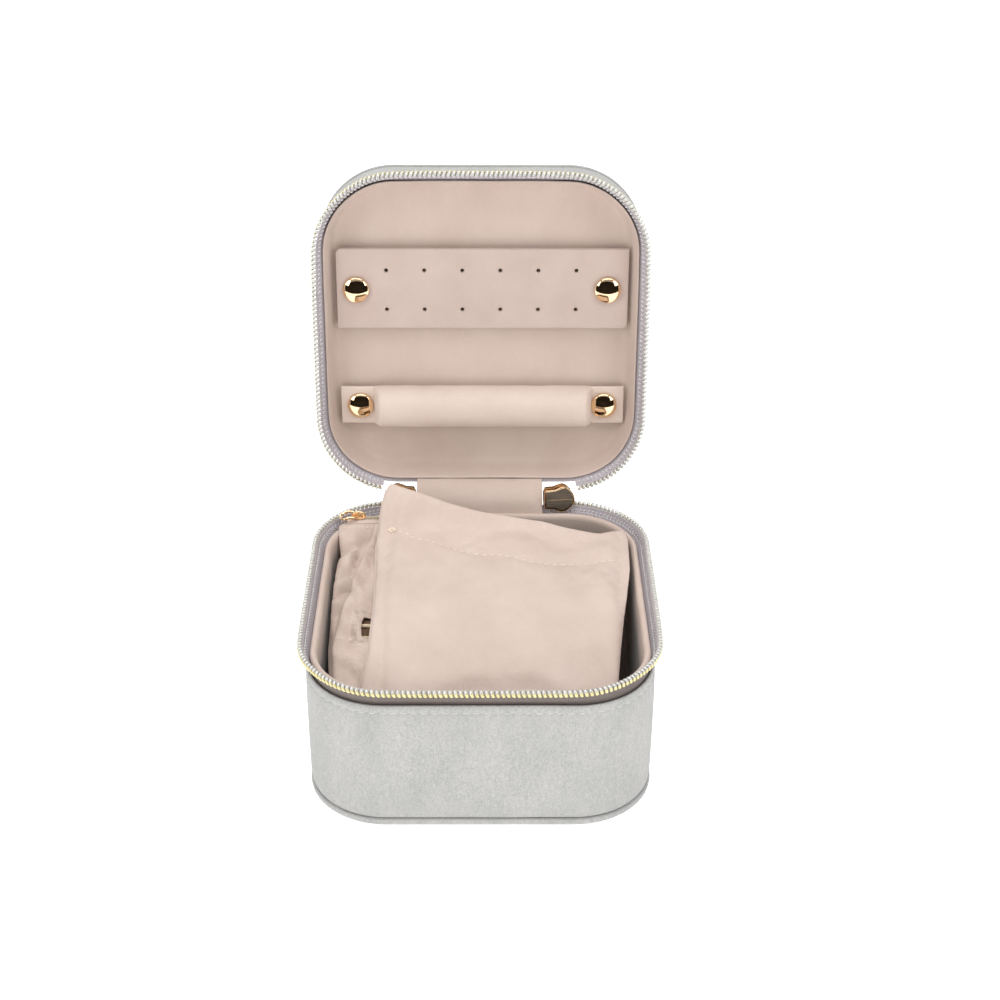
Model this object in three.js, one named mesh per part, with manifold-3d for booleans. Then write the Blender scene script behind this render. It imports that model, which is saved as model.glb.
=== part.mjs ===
// Travel jewelry case, open: a velvet-covered box with a zip round three sides, a hinged lid
// that carries an earring card and a ring roll, a lined tray, and three fabric pouches in it.
// Millimetres, +Z up, +X right, +Y back. The origin is the middle of the underside.
import * as THREE from 'three';
import { mergeVertices } from 'three/addons/utils/BufferGeometryUtils.js';
import Module from 'manifold-3d';

const wasm = await Module();
wasm.setup();

// ---- driving dimensions ----
const SHELL_HALF = 52.5; // half width of the velvet box
const RIM_HALF = 55.0; // half width over the zip teeth, which stand proud of the box
const CORNER_CENTRE = 28.5; // every rounded square shares its four corner centres
const ARC_STEPS = 7; // facets in each corner

const BASE_TOP = 45.3; // top edge of the base's velvet wall
const RIM_TOP = 51.5; // top of the base's zip teeth
const HINGE_Y = 56.4; // fabric hinge line
const HINGE_Z = 52.2;
const LID_OPEN = THREE.MathUtils.degToRad(96.24); // lid angle from closed, as stored
const LID_DEPTH = 19.3; // hinge plane to the outside of the lid

const FLAP_LEFT = -21.8; // the fabric hinge fills the gap between the two sliders
const FLAP_RIGHT = 20.5;
const ZIP_END_RIGHT = 22.2; // the base zip stops inside the two sliders
const ZIP_END_LEFT = -23.4;

const SLIDER_Z = 53.0; // middle of the sliders' height
const SLIDER_TURNS = { right: 4.93, left: -2.2 }; // degrees: both are parked just short of their corners
const CHAIN_HALF = 54.1; // middle of the teeth, across the rim
const PULL_PIVOT_OUT = 3.6; // pull's crossbar: out from the chain, and below the slider's middle
const PULL_PIVOT_DROP = 0.9;

const CARD_X = 0.4; // middle of the earring card
const CARD_WIDTH = 96.0;
const CARD_UP = [57.0, 84.0]; // from the hinge line, up the open lid
const CARD_SNAP_UP = 70.4;
const CARD_SNAPS = [-41.2, 41.6];
const HOLE_ROWS = [63.5, 76.8];
const HOLE_PITCH = 12.48;
const HOLE_RADIUS = 0.65;

const ROLL_UP = [22.6, 37.6];
const ROLL_ENDS = [-35.6, 36.7];
const TAB_ENDS = [-47.3, 48.0];
const TAB_UP = [22.9, 36.0];
const ROLL_SNAP_UP = 29.5;
const ROLL_SNAPS = [-40.9, 41.4];
const SNAP_RADIUS = 4.35;
const POST_RADIUS = 1.5;
const POST_HOLE = 1.85;

// Height of the top pouch over the tray, from its front edge to its back edge.
const DRAPE = [
  [-46, 12], [-44, 20], [-38, 31], [-28, 39.5], [-12, 45.5], [5, 48.8],
  [22, 50.6], [33, 51.8], [36, 53.4], [40, 57.2], [46, 62.6],
];

// ---- materials ----
const LOOKS = {
  velvet: { color: 0xc9cac8, roughness: 0.9, metalness: 0 },
  lining: { color: 0xd6beb0, roughness: 0.95, metalness: 0 },
  pouch: { color: 0xe6d4c8, roughness: 0.9, metalness: 0 },
  board: { color: 0xb9ada0, roughness: 0.9, metalness: 0 },
  tape: { color: 0xc5bfc5, roughness: 0.6, metalness: 0 },
  teeth: { color: 0xd9d6c4, roughness: 0.35, metalness: 0.3 },
  gold: { color: 0xd9a87c, roughness: 0.15, metalness: 1 },
  cord: { color: 0xb9a48c, roughness: 0.8, metalness: 0 },
  zip: { color: 0xcabfa4, roughness: 0.5, metalness: 0.1 },
};

function piece(parent, name, geometry, look) {
  const mesh = new THREE.Mesh(geometry, new THREE.MeshStandardMaterial(LOOKS[look]));
  mesh.name = name;
  parent.add(mesh);
  return mesh;
}

// ---- solids ----
function toSolid(geometry) {
  const bare = geometry.clone();
  bare.deleteAttribute('normal');
  bare.deleteAttribute('uv');
  const merged = mergeVertices(bare, 1e-4);
  return new wasm.Manifold(new wasm.Mesh({
    numProp: 3,
    vertProperties: new Float32Array(merged.attributes.position.array),
    triVerts: new Uint32Array(merged.index.array),
  }));
}

function toGeometry(solid) {
  const mesh = solid.getMesh();
  const geometry = new THREE.BufferGeometry();
  geometry.setAttribute('position', new THREE.BufferAttribute(mesh.vertProperties, 3));
  geometry.setIndex(new THREE.BufferAttribute(mesh.triVerts, 1));
  geometry.computeVertexNormals();
  return geometry;
}

function join(...geometries) {
  return toGeometry(geometries.map(toSolid).reduce((sum, next) => sum.add(next)));
}

function cut(geometry, ...cutters) {
  return toGeometry(cutters.map(toSolid).reduce((rest, next) => rest.subtract(next), toSolid(geometry)));
}

function overlap(first, second) {
  return toGeometry(toSolid(first).intersect(toSolid(second)));
}

function box(low, high) {
  const size = high.map((value, axis) => value - low[axis]);
  const middle = high.map((value, axis) => (value + low[axis]) / 2);
  return new THREE.BoxGeometry(...size).translate(...middle);
}

function outline(points) {
  return new THREE.Shape(points.map(([x, y]) => new THREE.Vector2(x, y)));
}

function rise(shape, bottom, top) {
  const settings = { depth: top - bottom, bevelEnabled: false, curveSegments: ARC_STEPS };
  return new THREE.ExtrudeGeometry(shape, settings).translate(0, 0, bottom);
}

// A section drawn in (Y, Z), carried along X.
function alongX(shape, left, right) {
  const turn = new THREE.Matrix4().makeBasis(
    new THREE.Vector3(0, 1, 0),
    new THREE.Vector3(0, 0, 1),
    new THREE.Vector3(1, 0, 0),
  );
  return rise(shape, 0, right - left).applyMatrix4(turn).translate(left, 0, 0);
}

// A face drawn in (X, Z), carried along Y.
function alongY(shape, front, back) {
  return rise(shape, 0, back - front).rotateX(Math.PI / 2).translate(0, back, 0);
}

function roundedSquare(half, path = new THREE.Shape()) {
  const c = CORNER_CENTRE;
  const quarter = Math.PI / 2;
  const corners = [[c, c, 0], [-c, c, 1], [-c, -c, 2], [c, -c, 3]];
  corners.forEach(([x, y, n]) => path.absarc(x, y, half - c, n * quarter, (n + 1) * quarter, false));
  path.closePath();
  return path;
}

function plate(half, bottom, top) {
  return rise(roundedSquare(half), bottom, top);
}

function ring(outer, inner, bottom, top) {
  const shape = roundedSquare(outer);
  shape.holes.push(roundedSquare(inner, new THREE.Path()));
  return rise(shape, bottom, top);
}

// Stations round the rim, clockwise from the back: each is a corner centre and a direction, or
// a point on the straight back edge.
function rimStations(rightX, leftX, rightTurn, leftTurn) {
  const stations = [];
  const corners = [[1, 1, rightTurn, 90], [1, -1, 90, 180], [-1, -1, 180, 270], [-1, 1, 270, 360 - leftTurn]];
  if (rightX < CORNER_CENTRE) stations.push({ x: rightX, y: 0, turn: 0 });
  corners.forEach(([sx, sy, from, to]) => {
    for (let step = 0; step <= ARC_STEPS; step += 1) {
      const turn = THREE.MathUtils.degToRad(from + ((to - from) * step) / ARC_STEPS);
      stations.push({ x: sx * CORNER_CENTRE, y: sy * CORNER_CENTRE, turn });
    }
  });
  if (leftTurn === 0) stations.push({ x: leftX, y: 0, turn: 0 });
  return stations;
}

// Carries a section of [half width, height] points along the stations. An open run gets ends.
function rimSweep(stations, section, closed = false) {
  const points = [];
  stations.forEach(({ x, y, turn }) => {
    section.forEach(([half, z]) => {
      const reach = y === 0 ? half : half - CORNER_CENTRE;
      points.push(x + Math.sin(turn) * reach, y + Math.cos(turn) * reach, z);
    });
  });
  const sides = section.length;
  const spans = closed ? stations.length : stations.length - 1;
  const faces = [];
  for (let span = 0; span < spans; span += 1) {
    for (let side = 0; side < sides; side += 1) {
      const a = span * sides + side;
      const b = span * sides + ((side + 1) % sides);
      const c = (a + sides) % (stations.length * sides);
      const d = (b + sides) % (stations.length * sides);
      faces.push([a, c, b], [b, c, d]);
    }
  }
  if (!closed) {
    const flat = section.map(([half, z]) => new THREE.Vector2(half, z));
    const last = (stations.length - 1) * sides;
    THREE.ShapeUtils.triangulateShape(flat, []).forEach(([a, b, c]) => {
      faces.push([a, b, c], [last + a, last + c, last + b]);
    });
  }
  return facingOut(points, faces);
}

// Turns every face over if the solid came out inside out.
function facingOut(points, faces) {
  const corner = (index) => new THREE.Vector3().fromArray(points, index * 3);
  const volume = faces.reduce((sum, [a, b, c]) => sum + corner(a).dot(corner(b).cross(corner(c))), 0);
  const outward = volume > 0 ? faces : faces.map(([a, b, c]) => [a, c, b]);
  const geometry = new THREE.BufferGeometry();
  geometry.setAttribute('position', new THREE.Float32BufferAttribute(points, 3));
  geometry.setIndex(outward.flat());
  geometry.computeVertexNormals();
  return geometry;
}

function lathe(profile, steps) {
  const points = profile.map(([radius, height]) => new THREE.Vector2(radius, height));
  return new THREE.LatheGeometry(points, steps).rotateX(Math.PI / 2);
}

// A wall with a round bead on top, as [half width, height] points.
function beadedWall(inner, outer, bottom, beadMiddle, beadHeight, beadRadius) {
  const neck = beadHeight - beadRadius;
  const section = [[inner, bottom], [outer, bottom], [outer, neck]];
  for (let step = 0; step <= 6; step += 1) {
    const angle = THREE.MathUtils.degToRad(-50 + (280 * step) / 6);
    section.push([beadMiddle + beadRadius * Math.cos(angle), beadHeight + beadRadius * Math.sin(angle)]);
  }
  section.push([inner, neck]);
  return section;
}

const caseGroup = new THREE.Group();

// ---- base ----
const baseStations = rimStations(ZIP_END_RIGHT, ZIP_END_LEFT, 0, 0);
const fullRing = rimStations(CORNER_CENTRE, 0, 0, 0).slice(0, -1);

piece(caseGroup, 'base_bottom_panel', plate(52.3, 0, 2.2), 'velvet');
piece(caseGroup, 'base_bottom_board', plate(49.8, 2.5, 3.8), 'board');
piece(caseGroup, 'base_wall_shell', ring(SHELL_HALF, 51.4, 2.5, BASE_TOP), 'velvet');
piece(caseGroup, 'base_wall_board', ring(51.1, 50.1, 2.5, 42.0), 'board');
piece(caseGroup, 'base_zip_tape', rimSweep(baseStations, [
  [50.3, 42.3], [50.9, 42.3], [50.9, 45.5], [53.9, 48.3], [53.9, 49.2], [53.3, 49.2],
  [53.3, 48.7], [50.3, 45.8],
]), 'tape');
piece(caseGroup, 'base_zip_teeth', rimSweep(baseStations, [
  [53.2, 49.5], [RIM_HALF, 49.5], [RIM_HALF, RIM_TOP], [53.2, RIM_TOP],
]), 'teeth');

piece(caseGroup, 'tray_wall', rimSweep(
  fullRing, beadedWall(48.6, 49.8, 4.1, 49.3, 48.1, 1.4), true,
), 'lining');
piece(caseGroup, 'tray_floor_board', plate(48.3, 4.1, 5.3), 'board');
piece(caseGroup, 'tray_floor_pad', plate(48.2, 5.6, 7.4), 'lining');

// ---- fabric hinge: a strip outside and a strip inside ----
function fabricStrip(line, thickness, left, right) {
  const curve = new THREE.SplineCurve(line.map(([y, z]) => new THREE.Vector2(y, z)));
  const middle = curve.getPoints(10);
  const across = middle.map((point, step) => {
    const heading = curve.getTangent(step / 10);
    return new THREE.Vector2(-heading.y, heading.x).multiplyScalar(thickness / 2);
  });
  const one = middle.map((point, step) => point.clone().add(across[step]));
  const other = middle.map((point, step) => point.clone().sub(across[step])).reverse();
  return alongX(new THREE.Shape([...one, ...other]), left, right);
}

piece(caseGroup, 'hinge_outer', fabricStrip(
  [[52.0, 45.9], [53.0, 48.0], [55.2, 50.6], [58.4, 53.3], [62.3, 55.6]], 0.8, FLAP_LEFT, FLAP_RIGHT,
), 'velvet');
piece(caseGroup, 'hinge_inner', fabricStrip(
  [[50.6, 42.6], [50.7, 45.6], [51.7, 48.6], [53.9, 52.4], [57.3, 57.6]], 0.6, FLAP_LEFT, FLAP_RIGHT,
), 'lining');

// ---- zip sliders and pulls ----
// Drawn at a point on the chain: X along the zip, Y out of the case, Z up from the middle.
function sliderSolid(toWide) {
  const face = new THREE.Shape();
  face.moveTo(-5.2 * toWide, -3.2);
  face.lineTo(-0.8 * toWide, -4.3);
  face.lineTo(3.0 * toWide, -4.3);
  face.quadraticCurveTo(5.2 * toWide, -4.3, 5.2 * toWide, -2.4);
  face.lineTo(5.2 * toWide, 2.4);
  face.quadraticCurveTo(5.2 * toWide, 4.3, 3.0 * toWide, 4.3);
  face.lineTo(-0.8 * toWide, 4.3);
  face.lineTo(-5.2 * toWide, 3.2);
  face.closePath();
  const ends = [0.6 * toWide, 4.3 * toWide].sort((a, b) => a - b);
  const bridge = outline([
    [2.4, -2.6], [5.4, -2.6], [5.4, 2.6], [2.4, 2.6], [2.4, 1.8], [4.6, 1.8], [4.6, -1.8], [2.4, -1.8],
  ]);
  return join(
    alongY(face, -2.6, -1.8),
    alongY(face, 1.8, 2.6),
    box([ends[0], -2.0, -1.2], [ends[1], 2.0, 1.2]),
    alongX(bridge, -0.8, 0.8),
  );
}

// Drawn with its crossbar on the X axis, hanging down.
function pullSolid() {
  const tab = new THREE.Shape();
  tab.moveTo(-2.9, 0);
  tab.lineTo(-2.9, -21.5);
  tab.quadraticCurveTo(-2.9, -24.5, 0, -24.5);
  tab.quadraticCurveTo(2.9, -24.5, 2.9, -21.5);
  tab.lineTo(2.9, 0);
  tab.closePath();
  const window = box([-2.0, -2, -5.2], [2.0, 2, 1]);
  const bar = new THREE.CylinderGeometry(0.55, 0.55, 5.6, 12).rotateZ(Math.PI / 2);
  return join(cut(alongY(tab, -0.5, 0.5), window), bar);
}

function addSlider(name, cornerX, toWide) {
  const turn = THREE.MathUtils.degToRad(SLIDER_TURNS[name]);
  const reach = CHAIN_HALF - CORNER_CENTRE;
  const carrier = new THREE.Group();
  carrier.position.set(
    cornerX - Math.sin(turn) * reach, CORNER_CENTRE + Math.cos(turn) * reach, SLIDER_Z,
  );
  carrier.rotation.z = turn;
  caseGroup.add(carrier);
  piece(carrier, `slider_${name}`, sliderSolid(toWide), 'gold');
  const pull = piece(carrier, `pull_${name}`, pullSolid(), 'gold');
  pull.position.set(0, PULL_PIVOT_OUT, -PULL_PIVOT_DROP);
}

addSlider('right', CORNER_CENTRE, 1);
addSlider('left', -CORNER_CENTRE, -1);

// ---- lid: modelled shut, then turned open about the hinge line ----
const lidTurn = new THREE.Group();
lidTurn.position.set(0, HINGE_Y, HINGE_Z);
lidTurn.rotation.x = -LID_OPEN;
caseGroup.add(lidTurn);
const lid = new THREE.Group();
lid.position.y = -HINGE_Y;
lidTurn.add(lid);

const lidStations = rimStations(CORNER_CENTRE, 0, 24, 24);
piece(lid, 'lid_zip_teeth', rimSweep(lidStations, [
  [53.2, -0.2], [RIM_HALF, -0.2], [RIM_HALF, 1.8], [53.2, 1.8],
]), 'teeth');
piece(lid, 'lid_zip_tape', rimSweep(lidStations, [
  [53.3, 2.1], [53.9, 2.1], [53.9, 3.0], [50.9, 6.0], [50.9, 9.0], [50.3, 9.0], [50.3, 5.7], [53.3, 2.6],
]), 'tape');
piece(lid, 'lid_wall_shell', ring(SHELL_HALF, 51.4, 6.2, 17.0), 'velvet');
piece(lid, 'lid_wall_board', ring(51.1, 50.4, 9.3, 17.0), 'board');
piece(lid, 'lid_top_panel', plate(52.3, 17.3, LID_DEPTH), 'velvet');
piece(lid, 'lid_top_board', plate(50.1, 15.7, 17.0), 'board');
piece(lid, 'lid_foam_pad', plate(50.0, 13.9, 15.4), 'board');
piece(lid, 'lid_lining_panel', plate(50.0, 12.4, 13.6), 'lining');
piece(lid, 'lid_lining_wall', ring(50.0, 49.2, 3.6, 12.1), 'lining');

// Measures up the open lid run from the hinge line towards -Y while the lid is drawn shut.
const up = (distance) => HINGE_Y - distance;

function capSolid(postLength) {
  return lathe([
    [0, -postLength], [POST_RADIUS, -postLength], [POST_RADIUS, 0], [SNAP_RADIUS, 0],
    [SNAP_RADIUS, 0.5], [3.7, 1.25], [2.3, 1.9], [0, 2.2],
  ], 18);
}

function addSnap(name, x, distance, seat) {
  const socket = lathe([
    [POST_HOLE, 10.8], [3.5, 10.8], [3.5, 12.1], [POST_HOLE, 12.1], [POST_HOLE, 10.8],
  ], 16);
  piece(lid, `snap_socket_${name}`, socket, 'gold').position.set(x, up(distance), 0);
  const cap = piece(lid, `snap_cap_${name}`, capSolid(11.7 - seat), 'gold');
  cap.position.set(x, up(distance), seat);
  cap.rotation.x = Math.PI;
}

function roundHole(x, distance, radius) {
  const drill = new THREE.CylinderGeometry(radius, radius, 6, 10).rotateX(Math.PI / 2);
  return drill.translate(x, up(distance), 9.4);
}

function cardLayer(inset, near, far) {
  const half = CARD_WIDTH / 2 - inset;
  const low = [CARD_X - half, up(CARD_UP[1] - inset), near];
  const high = [CARD_X + half, up(CARD_UP[0] + inset), far];
  const holes = CARD_SNAPS.map((x) => roundHole(x, CARD_SNAP_UP, POST_HOLE));
  HOLE_ROWS.forEach((row) => {
    for (let n = 0; n < 6; n += 1) {
      holes.push(roundHole((n - 2.5) * HOLE_PITCH, row, HOLE_RADIUS));
    }
  });
  return cut(box(low, high), ...holes);
}

piece(lid, 'earring_card_face', cardLayer(0, 8.4, 9.2), 'lining');
piece(lid, 'earring_card_board', cardLayer(0.6, 9.5, 10.5), 'board');
addSnap('card_left', CARD_SNAPS[0], CARD_SNAP_UP, 8.1);
addSnap('card_right', CARD_SNAPS[1], CARD_SNAP_UP, 8.1);

function rollSection() {
  const section = new THREE.Shape();
  const front = 1.3;
  const back = 12.0;
  const low = up(ROLL_UP[1]);
  const high = up(ROLL_UP[0]);
  const middle = (low + high) / 2;
  section.moveTo(low, (front + back) / 2 + 1.5);
  section.bezierCurveTo(low, back, low + 2, back, low + 3.5, back);
  section.lineTo(high - 3.5, back);
  section.bezierCurveTo(high - 2, back, high, back, high, (front + back) / 2 + 1.5);
  section.bezierCurveTo(high, front + 2, middle + 5, front, middle, front);
  section.bezierCurveTo(middle - 5, front, low, front + 2, low, (front + back) / 2 + 1.5);
  return section;
}

function rollTab(from, to, snapX) {
  const tab = box([from, up(TAB_UP[1]), 9.3], [to, up(TAB_UP[0]), 10.5]);
  return cut(tab, roundHole(snapX, ROLL_SNAP_UP, POST_HOLE));
}

piece(lid, 'ring_roll', alongX(rollSection(), ROLL_ENDS[0], ROLL_ENDS[1]), 'lining');
piece(lid, 'ring_tab_left', rollTab(TAB_ENDS[0], ROLL_ENDS[0] - 0.3, ROLL_SNAPS[0]), 'lining');
piece(lid, 'ring_tab_right', rollTab(ROLL_ENDS[1] + 0.3, TAB_ENDS[1], ROLL_SNAPS[1]), 'lining');
addSnap('roll_left', ROLL_SNAPS[0], ROLL_SNAP_UP, 9.0);
addSnap('roll_right', ROLL_SNAPS[1], ROLL_SNAP_UP, 9.0);

// ---- pouches: two fabric layers each, draped over one another in the tray ----
const drape = new THREE.SplineCurve(DRAPE.map(([y, z]) => new THREE.Vector2(y, z)));

function drapedLayer(plan, below, thickness) {
  const top = drape.getPoints(22);
  const shift = (depth) => (point) => new THREE.Vector2(point.x, point.y - depth);
  const band = [...top.map(shift(below)), ...top.map(shift(below + thickness)).reverse()];
  return overlap(alongX(new THREE.Shape(band), -50, 50), rise(outline(plan), 0, 90));
}

function drapeHeight(y) {
  const after = DRAPE.findIndex((point) => point[0] >= y);
  const [y0, z0] = DRAPE[after - 1];
  const [y1, z1] = DRAPE[after];
  return z0 + ((z1 - z0) * (y - y0)) / (y1 - y0);
}

const HEMMED_PLAN = [
  [-29, 45], [-21, 43.6], [-2.4, 39.4], [20, 36.6], [40, 32.2], [44.6, 32.6], [46.4, 28],
  [46.4, 14], [44.2, -10], [41.7, -29.5], [39.4, -42.6], [-37.6, -44], [-36.7, -31], [-34.6, -22],
  [-33.6, -4], [-34.4, 27], [-32.6, 40],
];
const DRAWSTRING_PLAN = [
  [-34.8, 37.6], [-39.5, 13.4], [-42.6, 0.7], [-45.4, -17.8], [-44.6, -33], [-42, -40], [24, -43],
  [36.5, 33.5],
];
const ZIP_PLAN = [
  [-44.2, 41.8], [-44.4, 39], [-45.4, 36], [-46.7, 31], [-47.2, 25], [-47.3, 5], [-47.2, -15],
  [-45.8, -31], [-41, -38], [24, -38], [26, 30], [5, 41.8],
];

const eyelet = box([-37.4, -15.2, 0], [-34.0, -5.6, 90]);
piece(caseGroup, 'hemmed_pouch_front', drapedLayer(HEMMED_PLAN, 0, 0.8), 'pouch');
piece(caseGroup, 'hemmed_pouch_back', drapedLayer(HEMMED_PLAN, 1.1, 0.8), 'pouch');
piece(
  caseGroup, 'drawstring_pouch_front', cut(drapedLayer(DRAWSTRING_PLAN, 2.3, 0.8), eyelet), 'pouch',
);
piece(caseGroup, 'drawstring_pouch_back', drapedLayer(DRAWSTRING_PLAN, 4.8, 0.8), 'pouch');
piece(caseGroup, 'zip_pouch_front', drapedLayer(ZIP_PLAN, 6.6, 0.8), 'pouch');
piece(caseGroup, 'zip_pouch_back', drapedLayer(ZIP_PLAN, 7.8, 0.8), 'pouch');

// The drawstring runs in its channel, there and back, between the pouch's two layers.
const CORD_RADIUS = 0.6;
const cordPoint = (x, y) => new THREE.Vector3(x, y, drapeHeight(y) - 3.95);
const cordLine = new THREE.CatmullRomCurve3([
  cordPoint(-41.6, -8.2), cordPoint(-20, -8.2), cordPoint(10, -8.2), cordPoint(24, -8.2),
  cordPoint(25.7, -8.9), cordPoint(26.4, -10.6), cordPoint(25.7, -12.3), cordPoint(24, -13),
  cordPoint(10, -13), cordPoint(-20, -13), cordPoint(-41.8, -13),
], false, 'centripetal');
const cordSection = new THREE.Shape();
cordSection.absarc(0, 0, CORD_RADIUS, 0, Math.PI * 2, false);
piece(caseGroup, 'drawstring_cord', new THREE.ExtrudeGeometry(cordSection, {
  extrudePath: cordLine, steps: 60, curveSegments: 6, bevelEnabled: false,
}), 'cord');

// The pouch's own zip along its back edge, with its slider and the loop that pulls it.
const POUCH_ZIP_TOP = 51.4;
const POUCH_ZIP_Y = 43.4;
const POUCH_SLIDER_X = -39.2;
const LOOP_PIVOT = [-40.2, 52.75];
const LOOP_TURN = THREE.MathUtils.degToRad(15); // lies a little towards the front
piece(caseGroup, 'zip_pouch_zip', box(
  [-42.5, POUCH_ZIP_Y - 1.3, POUCH_ZIP_TOP - 0.9], [4.0, POUCH_ZIP_Y + 1.3, POUCH_ZIP_TOP],
), 'zip');
const pouchSlider = new THREE.Group();
pouchSlider.position.set(POUCH_SLIDER_X, POUCH_ZIP_Y, POUCH_ZIP_TOP);
caseGroup.add(pouchSlider);
piece(pouchSlider, 'zip_pouch_slider', join(
  box([-3.2, -1.5, 0.3], [3.2, 1.5, 0.9]),
  alongY(outline([
    [-2.4, 0.7], [-2.4, 2.4], [2.4, 2.4], [2.4, 0.7], [1.8, 0.7], [1.8, 1.95], [-1.8, 1.95], [-1.8, 0.7],
  ]), -0.5, 0.5),
), 'gold');

const loopRim = new THREE.Shape();
loopRim.moveTo(0.3, -1.95);
loopRim.lineTo(0.3, 1.95);
loopRim.lineTo(-3.8, 1.95);
loopRim.quadraticCurveTo(-6.1, 1.95, -6.1, 0);
loopRim.quadraticCurveTo(-6.1, -1.95, -3.8, -1.95);
loopRim.closePath();
const loopHole = new THREE.Path();
loopHole.moveTo(-0.3, -1.25);
loopHole.lineTo(-3.7, -1.25);
loopHole.quadraticCurveTo(-5.4, -1.25, -5.4, 0);
loopHole.quadraticCurveTo(-5.4, 1.25, -3.7, 1.25);
loopHole.lineTo(-0.3, 1.25);
loopHole.closePath();
loopRim.holes.push(loopHole);
const loop = piece(caseGroup, 'zip_pouch_pull', rise(loopRim, -0.3, 0.3), 'gold');
loop.position.set(LOOP_PIVOT[0], POUCH_ZIP_Y - 0.2, LOOP_PIVOT[1]);
loop.rotation.z = LOOP_TURN;

export default caseGroup;
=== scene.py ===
"""Travel jewelry case, open: its looks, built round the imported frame. Drawn in millimetres, set in metres."""

import math

import bmesh
import bpy
import numpy as np
from mathutils import Matrix, Vector, noise
from mathutils.bvhtree import BVHTree
from mathutils.geometry import delaunay_2d_cdt


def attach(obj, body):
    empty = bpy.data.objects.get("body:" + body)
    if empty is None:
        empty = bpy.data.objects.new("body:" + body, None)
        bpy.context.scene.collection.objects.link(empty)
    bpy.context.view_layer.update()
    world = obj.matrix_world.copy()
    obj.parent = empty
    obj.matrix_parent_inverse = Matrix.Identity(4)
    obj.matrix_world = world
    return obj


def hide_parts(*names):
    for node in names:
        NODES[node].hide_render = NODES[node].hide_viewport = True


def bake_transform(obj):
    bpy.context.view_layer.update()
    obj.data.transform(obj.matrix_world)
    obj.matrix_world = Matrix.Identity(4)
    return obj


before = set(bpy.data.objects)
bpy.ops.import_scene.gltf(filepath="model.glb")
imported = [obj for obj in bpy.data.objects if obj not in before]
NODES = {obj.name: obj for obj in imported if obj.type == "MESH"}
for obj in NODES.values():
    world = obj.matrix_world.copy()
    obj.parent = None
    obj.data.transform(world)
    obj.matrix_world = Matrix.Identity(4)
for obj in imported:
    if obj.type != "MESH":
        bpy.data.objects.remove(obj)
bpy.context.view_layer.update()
scene = bpy.context.scene
noise.seed_set(11)  # without a seed, mathutils.noise takes its offsets from the clock

MM = 0.001
CORNER = 28.5  # centre of every rounded corner
REACH = 25.6  # radius of the zip's path round a corner
ARC = REACH * math.pi / 2
SIDE = 2 * CORNER
LOOP = 4 * (SIDE + ARC)
HINGE_Y, HINGE_Z = 56.4, 52.2
LEAN = math.radians(6.24)  # how far past upright the open lid leans
LEAN_SIN, LEAN_COS = math.sin(LEAN), math.cos(LEAN)
MIRROR = 51.3  # a height z on the base's rim matches a depth MIRROR - z on the lid
FAR_CORNERS = (CORNER + ARC * 1.5 + SIDE, CORNER + ARC * 2.5 + SIDE * 2)  # those opposite the hinge


# ---------------------------------------------------------------- materials
class Graph:
    """A material's node tree, with its main shader."""

    def __init__(self, name, **settings):
        self.material = bpy.data.materials.new(name)
        self.material.use_nodes = True
        self.tree = self.material.node_tree
        self.tree.nodes.clear()
        out = self.tree.nodes.new("ShaderNodeOutputMaterial")
        self.shader = self.add("ShaderNodeBsdfPrincipled", settings)
        self.tree.links.new(self.shader.outputs[0], out.inputs[0])
        self.place = self.add("ShaderNodeTexCoord").outputs

    def add(self, kind, inputs=None, **attributes):
        node = self.tree.nodes.new(kind)
        for key, value in attributes.items():
            setattr(node, key, value)
        for key, value in (inputs or {}).items():
            socket = node.inputs[key]
            if isinstance(value, bpy.types.NodeSocket):
                self.tree.links.new(value, socket)
            elif socket.type == "RGBA":
                socket.default_value = (*value, 1)
            else:
                socket.default_value = value
        return node

    def noise(self, size, detail=2.0, rough=0.5, stretch=(1, 1, 1), source="Object"):
        """Noise whose features are about size millimetres across."""
        mapped = self.add("ShaderNodeMapping", {"Vector": self.place[source], "Scale": stretch})
        return self.add("ShaderNodeTexNoise", {
            "Vector": mapped.outputs[0], "Scale": 1 / (size * MM), "Detail": detail, "Roughness": rough,
        }).outputs[0]

    def waves(self, size, direction, source="Object", distortion=0.0):
        return self.add("ShaderNodeTexWave", {
            "Vector": self.place[source], "Scale": 0.31416 / (size * MM), "Distortion": distortion,
        }, bands_direction=direction).outputs[1]

    def span(self, value, low, high, to_low=0.0, to_high=1.0):
        return self.add("ShaderNodeMapRange", {0: value, 1: low, 2: high, 3: to_low, 4: to_high}).outputs[0]

    def math(self, operation, first, second):
        return self.add("ShaderNodeMath", {0: first, 1: second}, operation=operation).outputs[0]

    def mix(self, share, first, second, blend="MIX"):
        node = self.add("ShaderNodeMix", data_type="RGBA", blend_type=blend)
        for index, value in ((0, share), (6, first), (7, second)):
            socket = node.inputs[index]
            if isinstance(value, bpy.types.NodeSocket):
                self.tree.links.new(value, socket)
            elif index:
                socket.default_value = (*value, 1)
            else:
                socket.default_value = value
        return node.outputs[2]

    def grey(self, value):
        return self.add("ShaderNodeCombineColor", {0: value, 1: value, 2: value}).outputs[0]

    def bump(self, height, depth, under=None):
        inputs = {"Height": height, "Distance": depth * MM, "Strength": 1.0}
        if under is not None:
            inputs["Normal"] = under
        return self.add("ShaderNodeBump", inputs).outputs[0]

    def finish(self, colour, normal=None, roughness=None):
        self.tree.links.new(colour, self.shader.inputs["Base Color"])
        if normal is not None:
            self.tree.links.new(normal, self.shader.inputs["Normal"])
        if roughness is not None:
            self.tree.links.new(roughness, self.shader.inputs["Roughness"])
        return self.material


def linear(*values):
    """A colour given in 0 to 255, as a screen shows it, in linear light."""
    return tuple(v / 255 / 12.92 if v <= 10 else ((v / 255 + 0.055) / 1.055) ** 2.4 for v in values)


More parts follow.
